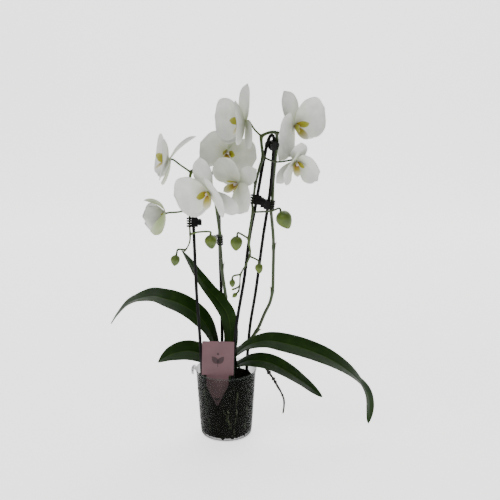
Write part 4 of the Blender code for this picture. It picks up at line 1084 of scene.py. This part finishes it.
stem_look, tree, shader = shader_of("woody_green_stem", (0.05, 0.09, 0.02), 0.48)
where = place_of(tree)
flecks = noise(tree, where, 130.0, 4.0)
broad = noise(tree, where, 14.0, 2.0)
tone = ramp(tree, broad, ((0.3, (0.008, 0.018, 0.001)), (0.55, (0.024, 0.048, 0.002)),
                          (0.75, (0.055, 0.092, 0.006))))
fleck = ramp(tree, flecks, ((0.55, 0.0), (0.75, 0.6)))
tree.links.new(blend_colours(tree, fleck, tone, (0.035, 0.022, 0.010)), shader.inputs["Base Color"])
relief(tree, shader, flecks, 0.2)
scale_look, tree, shader = shader_of("dry_scale", (0.12, 0.11, 0.05), 0.7)
_, along, uv = along_uv(tree)
tint(tree, shader, along, ((0.0, (0.030, 0.042, 0.008)), (0.6, (0.050, 0.048, 0.016)),
                           (1.0, (0.035, 0.025, 0.012))))
relief(tree, shader, noise(tree, uv, 4.0, 2.0, (12, 1, 1)), 0.3)

for node, (route, stalks) in (("flower_spike_left", SPIKE_LEFT), ("flower_spike_right", SPIKE_RIGHT)):
    path = smooth_path(route, STEM_STEPS)
    s = np.linspace(0, 1, len(path))
    radii = STEM_RADIUS * np.interp(s, (0, 0.6, 0.85, 1.0), (1.12, 1.0, 0.72, 0.42))
    joints = [int(np.argmin(np.linalg.norm(path - stalk[0], axis=1))) for stalk in stalks]
    bare = [int(share * len(path)) for share in BARE_JOINTS]
    for joint in joints + bare:
        radii = radii * (1 + 0.22 * np.exp(-((np.arange(len(path)) - joint) / 3.2) ** 2))
    runs = [(path, rounded(radii, path))]
    scales = []
    tangents = np.gradient(path, axis=0)
    for joint, stalk in zip(joints, stalks):
        run = smooth_path([path[joint], *stalk[1:]], STALK_STEPS)
        t = np.linspace(0, 1, STALK_STEPS)
        thick = PEDICEL_RADIUS * (1.0 + 0.35 * np.exp(-t / 0.08) + 0.30 * np.exp(-(1 - t) / 0.06))
        runs.append((run, thick))
        axis = unit(tangents[joint])
        outward = unit((run[6] - run[0]) - axis * np.dot(run[6] - run[0], axis))
        length = 0.0045 + 0.9 * radii[joint]
        scales.append(scale_grids(path[joint] - axis * 0.0035, axis, outward, radii[joint] * 1.02, length))
    for count, joint in enumerate(bare):
        axis = unit(tangents[joint])
        outward = unit(np.cross(axis, (0.2, 1.0 if count % 2 else -1.0, 0.1)))
        scales.append(scale_grids(path[joint], axis, outward, radii[joint] * 1.03, 0.0105))
    settle(sleeves(node + "_stems", runs, stem_look, 14), None, "plant", "stem_green", node)
    settle(sheets(node + "_scales", scales), scale_look, "plant", "stem_green")

# ---------------------------------------------------------------- buds
# Closed buds: three fleshy sepals pressed edge to edge round the petals, with a shallow
# seam between them and a blunt point.
BUD_ROWS, BUD_SIDES = 34, 48


def bud_grid(centre, length, width, tip):
    """Points and faces of one closed bud that hangs towards its tip."""
    tip = unit(tip)
    side = unit(np.cross(tip, (0, 1, 0.2)))
    other = np.cross(side, tip)
    top = np.array(centre) / 1000 - tip * (length / 2000)
    points, faces = [], []
    for i in range(BUD_ROWS + 1):
        s = i / BUD_ROWS
        fat = math.sin(math.pi * s ** 0.82) ** 0.62 * (1 - 0.16 * s)
        for k in range(BUD_SIDES):
            angle = 2 * math.pi * k / BUD_SIDES
            swell = math.sin(math.pi * s)
            seam = 1 - 0.075 * math.exp(-(math.remainder(angle, 2 * math.pi / 3) / 0.10) ** 2) * swell
            lobe = 1 + 0.05 * math.cos(3 * angle + math.pi) * swell
            ring = side * math.cos(angle) + other * math.sin(angle)
            points.append(top + tip * (s * length / 1000) + ring * (fat * seam * lobe * width / 2000))
    for i in range(BUD_ROWS):
        for k in range(BUD_SIDES):
            a, b = i * BUD_SIDES + k, i * BUD_SIDES + (k + 1) % BUD_SIDES
            faces.append((a, b, b + BUD_SIDES, a + BUD_SIDES))
    return points, faces


bud_look, tree, shader = shader_of("bud_green", (0.12, 0.20, 0.02), 0.5)
where = place_of(tree)
shade = noise(tree, where, 70.0, 3.0)
tint(tree, shader, shade, ((0.3, (0.040, 0.074, 0.001)), (0.55, (0.072, 0.115, 0.001)),
                           (0.8, (0.125, 0.165, 0.004))))
relief(tree, shader, noise(tree, where, 300.0, 2.0), 0.12)
for number, values in enumerate(BUDS, 1):
    bud = plain_mesh(f"bud_{number}_sepals", *bud_grid(*values))
    face_out(bud, 60)
    settle(bud, bud_look, "plant", "bud_green", f"bud_{number}")

# ---------------------------------------------------------------- flowers
# Moth-shaped flowers: three sepals behind, two broad petals before them, and in the middle
# a three-lobed lip and a short column. The flesh is thin, white and faintly veined.
PETAL_LENGTH, PETAL_WIDTH = 0.0600, 0.0720
SEPAL_LENGTH, SEPAL_WIDTH = 0.0620, 0.0350
LIP_LENGTH = 0.0290
HUB_RADIUS = 0.0042
PETAL_LAYER, LIP_LAYER = 0.0018, 0.0036
HALF_OPEN_LEAN = 60
YOUNG_SEPAL, YOUNG_PETAL, YOUNG_LIP = 1.5, 0.78, 0.55
LIP_LEANS, YOUNG_LIP_LEANS, TONGUE_LEANS = (52, 76), (52, 104), (74, 26)
SEPAL_CLAW, PETAL_CLAW, LIP_CLAW = 0.0056, 0.0060, 0.0034
COLUMN_RADIUS, CALLUS_RADIUS = 0.0021, 0.0015


def blade_width(s, broad):
    """Half width of a petal or sepal as a share of its greatest, from claw to tip."""
    if broad:
        opened = math.sin(math.pi / 2 * min(1.0, s / 0.50)) ** 0.80
        return opened * max(0.0, 1 - max(0.0, (s - 0.50) / 0.50) ** 2.6) ** 0.5
    opened = math.sin(math.pi / 2 * min(1.0, s / 0.52)) ** 0.85
    return opened * max(0.0, 1 - max(0.0, (s - 0.52) / 0.48) ** 2.5) ** 0.5


def arc_point(leans, s):
    """Reach and height, as shares of its length, of a blade whose lean changes evenly."""
    first, last = (math.radians(v) for v in leans)
    steps = np.linspace(0, s, 12)
    angles = first + (last - first) * (steps[:-1] + steps[1:]) / 2
    return float(np.sum(np.cos(angles)) * s / 11), float(np.sum(np.sin(angles)) * s / 11)


def blade_grids(centre, axes, blade, hub_radius, thickness, rows, columns, wave, seed):
    """Front and back grids of one blade: a claw, a broad middle and a round tip."""
    right, top, face = axes
    angle, length, width, claw, leans, cup = blade
    angle = math.radians(angle)
    outward = math.cos(angle) * right + math.sin(angle) * top
    across = -math.sin(angle) * right + math.cos(angle) * top
    front = np.zeros((rows, columns, 3))
    back = front.copy()
    for i in range(rows):
        s = (1 - math.cos(math.pi * i / (rows - 1))) / 2 if i else 0.0
        s = s ** 0.9
        bend = math.radians(leans[0] + (leans[1] - leans[0]) * s) * min(1.0, s * 8)
        out, rise = arc_point(leans, s)
        stand = math.cos(bend) * face - math.sin(bend) * outward
        step = math.cos(bend) * outward + math.sin(bend) * face
        open_width = blade_width(s, width > 0.8 * length)
        half = claw / 2 * max(0.0, 1 - s * 3) + width / 2 * open_width
        for j in range(columns):
            t = 2 * j / (columns - 1) - 1
            ruffle = wave * half * t * t * math.sin(5.0 * s + 2.1 * t + seed)
            ruffle += 0.5 * wave * half * math.sin(3.0 * t + seed * 2 + s * 2) * s
            rib = -0.00035 * math.exp(-(t / 0.05) ** 2) * math.sin(math.pi * s)
            place = (centre + outward * (hub_radius + out * length) + face * (rise * length)
                     - step * (length * 0.05 * t * t * s ** 3) + across * (half * t)
                     + stand * (cup * half * t * t * min(1.0, s * 3) + ruffle + rib))
            edge = 0.5 * thickness * (0.25 + 0.75 * (1 - t * t) ** 0.6 * (1 - 0.5 * s))
            front[i, j] = place + stand * edge
            back[i, j] = place - stand * edge
    return front, back


def petal_material(name, claw_tone, back_tone, back_share):
    """White flesh with green running out from the claw and fine veins along it."""
    made, tree, shader = shader_of(name, (0.8, 0.8, 0.78), 0.5)
    shader.inputs["Sheen Weight"].default_value = 0.25
    shader.inputs["Sheen Roughness"].default_value = 0.5
    shader.inputs["Subsurface Weight"].default_value = 0.12
    shader.inputs["Subsurface Radius"].default_value = (0.004, 0.004, 0.003)
    shader.inputs["Subsurface Scale"].default_value = 1.0
    across, along, _ = along_uv(tree)
    cloud = noise(tree, place_of(tree), 50.0, 3.0)
    white = ramp(tree, cloud, ((0.3, (0.56, 0.56, 0.54)), (0.7, (0.70, 0.70, 0.68))))
    near = ramp(tree, along, ((0.0, 0.95), (0.18, 0.42), (0.50, 0.0)))
    tone = blend_colours(tree, near, white, claw_tone)
    fan = compute(tree, 'MULTIPLY', compute(tree, 'SUBTRACT', across, 0.5), 9.0)
    turn = tree.nodes.new("ShaderNodeCombineXYZ")
    tree.links.new(fan, turn.inputs["X"])
    tree.links.new(along, turn.inputs["Y"])
    veins = tree.nodes.new("ShaderNodeTexWave")
    veins.inputs["Scale"].default_value = 1.0
    veins.inputs["Distortion"].default_value = 1.6
    veins.inputs["Detail"].default_value = 2.0
    tree.links.new(turn.outputs[0], veins.inputs["Vector"])
    lines = ramp(tree, veins.outputs["Fac"], ((0.0, 1.0), (0.16, 0.0)))
    tone = blend_colours(tree, compute(tree, 'MULTIPLY', lines, 0.10), tone, (0.45, 0.47, 0.38))
    outside = ramp(tree, along, ((0.0, 1.0), (0.55, 0.75), (1.0, 0.35)))
    behind = compute(tree, 'MULTIPLY', attribute(tree, "outer"), back_share)
    outside = compute(tree, 'MULTIPLY', outside, behind)
    tone = blend_colours(tree, outside, tone, back_tone)
    tree.links.new(tone, shader.inputs["Base Color"])
    relief(tree, shader, veins.outputs["Fac"], 0.10, 0.0005)
    return made


sepal_look = petal_material("sepal_flesh", (0.36, 0.46, 0.14), (0.32, 0.42, 0.12), 0.9)
petal_look = petal_material("petal_flesh", (0.55, 0.60, 0.38), (0.55, 0.60, 0.42), 0.35)
green_sepal_look = petal_material("young_sepal_flesh", (0.20, 0.28, 0.04), (0.17, 0.25, 0.025), 1.15)

side_lobe_look, tree, shader = shader_of("lip_side_lobe", (0.4, 0.4, 0.05), 0.45)
_, along, uv = along_uv(tree)
stripe = noise(tree, uv, 5.0, 2.0, (7, 1, 1))
base = ramp(tree, along, ((0.0, (0.16, 0.050, 0.006)), (0.20, (0.34, 0.28, 0.02)),
                          (0.6, (0.36, 0.40, 0.03)), (1.0, (0.52, 0.56, 0.18))))
stripes = ramp(tree, stripe, ((0.5, 0.0), (0.62, 0.7)))
tree.links.new(blend_colours(tree, stripes, base, (0.26, 0.10, 0.012)), shader.inputs["Base Color"])
relief(tree, shader, stripe, 0.2)
mid_lobe_look, tree, shader = shader_of("lip_middle_lobe", (0.8, 0.7, 0.4), 0.45)
across, along, uv = along_uv(tree)
middle = compute(tree, 'ABSOLUTE', compute(tree, 'SUBTRACT', across, 0.5))
base = ramp(tree, along, ((0.0, (0.12, 0.03, 0.004)), (0.22, (0.40, 0.19, 0.012)),
                          (0.45, (0.44, 0.38, 0.05)), (0.75, (0.66, 0.64, 0.46)), (1.0, (0.78, 0.76, 0.68))))
blush = ramp(tree, middle, ((0.25, 0.0), (0.5, 0.5)))
tree.links.new(blend_colours(tree, blush, base, (0.74, 0.70, 0.60)), shader.inputs["Base Color"])
relief(tree, shader, noise(tree, uv, 6.0, 2.0, (4, 1, 1)), 0.2)
column_look, tree, shader = shader_of("column_flesh", (0.75, 0.68, 0.68), 0.4)
tint(tree, shader, noise(tree, place_of(tree), 260.0), ((0.35, (0.60, 0.48, 0.50)),
                                                        (0.65, (0.76, 0.72, 0.70))))
relief(tree, shader, noise(tree, place_of(tree), 500.0), 0.15)
callus_look, tree, shader = shader_of("callus_flesh", (0.35, 0.14, 0.02), 0.4)
tint(tree, shader, noise(tree, place_of(tree), 700.0), ((0.4, (0.42, 0.22, 0.02)),
                                                        (0.6, (0.13, 0.025, 0.006))))
relief(tree, shader, noise(tree, place_of(tree), 700.0), 0.3)

for number, (hub, turn, nod, lean, size, opening) in enumerate(FLOWERS, 1):
    axes = flower_axes(turn, nod, lean)
    right, top, face = axes
    centre = np.array(hub) / 1000
    dorsal, lateral, left_petal, right_petal = opening
    half_open = left_petal[1] > HALF_OPEN_LEAN
    curl = 0.10 + 0.35 * max(0, left_petal[1]) / 112
    width = SEPAL_WIDTH * size * (YOUNG_SEPAL if half_open else 1)
    sepals = [(angle, SEPAL_LENGTH * size, width, SEPAL_CLAW, leans, cup)
              for angle, leans, cup in ((90, dorsal, 0.16), (215, lateral, 0.10), (325, lateral, 0.10))]
    grown = size * (YOUNG_PETAL if half_open else 1)
    petals = [(6, PETAL_LENGTH * grown, PETAL_WIDTH * grown, PETAL_CLAW, right_petal, curl),
              (174, PETAL_LENGTH * grown, PETAL_WIDTH * grown, PETAL_CLAW, left_petal, curl)]
    grids = [blade_grids(centre, axes, blade, HUB_RADIUS * 0.2, PETAL_THICK * 1.2, 44, 19, 0.03, number + k)
             for k, blade in enumerate(sepals)]
    settle(sheets(f"flower_{number}_sepal_blades", grids), green_sepal_look if half_open else sepal_look,
           "plant", "petal_white", f"flower_{number}_sepals")
    grids = [blade_grids(centre + face * PETAL_LAYER, axes, blade, HUB_RADIUS * 0.2, PETAL_THICK, 52, 31,
                         0.035, number * 2 + k) for k, blade in enumerate(petals)]
    settle(sheets(f"flower_{number}_petal_blades", grids), petal_look, "plant", "petal_white",
           f"flower_{number}_petals")
    lobe = LIP_LENGTH * size * (YOUNG_LIP if half_open else 1)
    root = centre + face * LIP_LAYER
    spread = YOUNG_LIP_LEANS if half_open else LIP_LEANS
    sides = [(angle, lobe * 0.80, lobe * 0.46, LIP_CLAW, spread, 0.30) for angle in (14, 166)]
    grids = [blade_grids(root, axes, blade, HUB_RADIUS * 0.6, PETAL_THICK, 26, 13, 0.02, k)
             for k, blade in enumerate(sides)]
    settle(sheets(f"flower_{number}_lip_side_lobes", grids), side_lobe_look, "plant", "lip_yellow",
           f"flower_{number}_lip")
    tongue = (270, lobe, lobe * 0.56, LIP_CLAW, TONGUE_LEANS, -0.25)
    grids = [blade_grids(root, axes, tongue, HUB_RADIUS * 0.6, PETAL_THICK * 1.3, 32, 15, 0.02, 0)]
    settle(sheets(f"flower_{number}_lip_middle_lobe", grids), mid_lobe_look, "plant", "lip_yellow")
    path = smooth_path([root - face * 0.001, root + face * 0.004 + top * 0.001,
                        root + face * 0.0075 + top * 0.001, root + face * 0.0096], 24)
    t = np.linspace(0, 1, 24)
    radii = rounded(COLUMN_RADIUS + 0.0007 * t, path)
    column = sleeves(f"flower_{number}_column", [(path, radii)], column_look, 16)
    settle(column, None, "plant", "lip_yellow")
    knob = root + face * 0.0035 - top * 0.0042 * size
    path = smooth_path([knob - right * 0.0022, knob + face * 0.0016, knob + right * 0.0022], 16)
    callus = sleeves(f"flower_{number}_callus", [(path, rounded(CALLUS_RADIUS, path))], callus_look, 12)
    settle(callus, None, "plant", "lip_yellow")

# ---------------------------------------------------------------- clips
# Small sprung claw clips that hold a stem to its wire: two moulded halves of black plastic
# with four teeth and a ribbed finger grip each, which turn on one headed pin. The spring
# round the pin is hidden between the halves and is left out.
KNUCKLE_RADIUS = 0.0022
CLIP_WALL = 0.0016
HANDLE_LENGTH = 0.0090
SOFT_EDGE = 0.00022
PIN_RADIUS, PIN_HEAD, PIN_PROUD = 0.0012, 0.0016, 0.0006
TEETH = 4
JAW_INNER = STEM_RADIUS + 4 * CLEARANCE
JAW_REACH = 2 * (WIRE_RADIUS + STEM_RADIUS) + KNUCKLE_RADIUS + 10 * CLEARANCE
clip_look = black_plastic("black_moulded_plastic", 0.45, 90.0, 0.005, 220.0, (0.28, 0.5), 900.0, 0.1)


def prism(outline, place, sign, low, high, points, faces):
    """Adds an outline of the clip's plane, drawn out between two heights."""
    base, count = len(points), len(outline)
    points += [place(u, sign * v, z) for z in (low, high) for u, v in outline]
    faces += [tuple(range(base, base + count)), tuple(range(base + 2 * count - 1, base + count - 1, -1))]
    faces += [(base + k, base + (k + 1) % count, base + count + (k + 1) % count, base + count + k)
              for k in range(count)]


for number, values in CLIP_PLACES.items():
    wire, z_axis, outward, stem = beside(*values)
    u_axis = -outward
    v_axis = np.cross(z_axis, u_axis)
    pin = wire + u_axis * (WIRE_RADIUS + KNUCKLE_RADIUS + 2 * CLEARANCE)

    def place(u, v, z):
        return pin + u_axis * u + v_axis * v + z_axis * z

    inner, wall, half = JAW_INNER, CLIP_WALL, CLIP_HEIGHT / 2
    root = -JAW_REACH * 0.55
    tooth = []
    for step in range(11):
        angle = math.radians(90 * step / 10)
        tooth.append((-JAW_REACH - wall + (inner + wall) * (1 - math.cos(angle)),
                      CLEARANCE + (inner + wall - CLEARANCE) * math.sin(angle)))
    tooth += [(root, inner + wall), (root, inner)]
    for step in range(10, -1, -1):
        angle = math.radians(90 * step / 10)
        tooth.append((-JAW_REACH + inner * (1 - math.cos(angle)),
                      CLEARANCE + (inner - CLEARANCE) * math.sin(angle)))
    bridge = [(root, inner), (root, inner + wall), (KNUCKLE_RADIUS, inner + wall), (KNUCKLE_RADIUS, inner)]
    grip = [(0.0, inner + wall + 0.0002)]
    for step in range(1, 13):
        s = step / 12
        rib = 0.00035 if step % 3 == 1 else 0.0
        grip.append((HANDLE_LENGTH * s, inner + wall + 0.0002 + 0.0026 * s ** 1.4 + rib))
    for step in range(12, 0, -1):
        s = step / 12
        grip.append((HANDLE_LENGTH * s + 0.0003, inner + 0.0030 * s ** 1.6))
    grip.append((0.0, inner))
    slot = CLIP_HEIGHT / (2 * TEETH - 1)
    third = CLIP_HEIGHT / 3
    for label, sign, body in (("fixed", 1, "plant"), ("moving", -1, f"clip_{number}_jaw")):
        points, faces = [], []
        for k in range(TEETH):
            prism(tooth, place, sign, -half + 2 * k * slot, -half + (2 * k + 1) * slot, points, faces)
        prism(bridge, place, sign, -half, half, points, faces)
        prism(grip, place, sign, -half * 0.62, half * 0.62, points, faces)
        spans = [(-half, -third / 2 - CLEARANCE), (third / 2 + CLEARANCE, half)]
        if label == "moving":
            spans = [(-third / 2 + CLEARANCE, third / 2 - CLEARANCE)]
        arm = [(KNUCKLE_RADIUS * math.cos(a), KNUCKLE_RADIUS * math.sin(a))
               for a in np.linspace(math.pi * 0.9, math.pi * 2.1, 18)]
        arm = [(-KNUCKLE_RADIUS * 0.95, inner + 0.0004), *arm, (KNUCKLE_RADIUS * 0.95, inner + 0.0004)]
        for low, high in spans:
            prism(arm, place, sign, low, high, points, faces)
        clip = plain_mesh(f"clip_{number}_{label}_half", points, faces)
        face_out(clip, 35)
        soften = clip.modifiers.new("soft_edges", 'BEVEL')
        soften.width = SOFT_EDGE
        soften.segments = 2
        soften.limit_method = 'ANGLE'
        soften.angle_limit = math.radians(40)
        bake_down(clip)
        settle(clip, clip_look, body, "clip_plastic", f"clip_{number}_{label}")
    pin_path = np.array([place(0, 0, z) for z in np.linspace(-half - PIN_PROUD, half + PIN_PROUD, 9)])
    pin_radii = np.array([PIN_HEAD] * 2 + [PIN_RADIUS] * 5 + [PIN_HEAD] * 2)
    pin_piece = sleeves(f"clip_{number}_pin", [(pin_path, pin_radii)], clip_look, 20)
    settle(pin_piece, None, "plant", "clip_plastic")
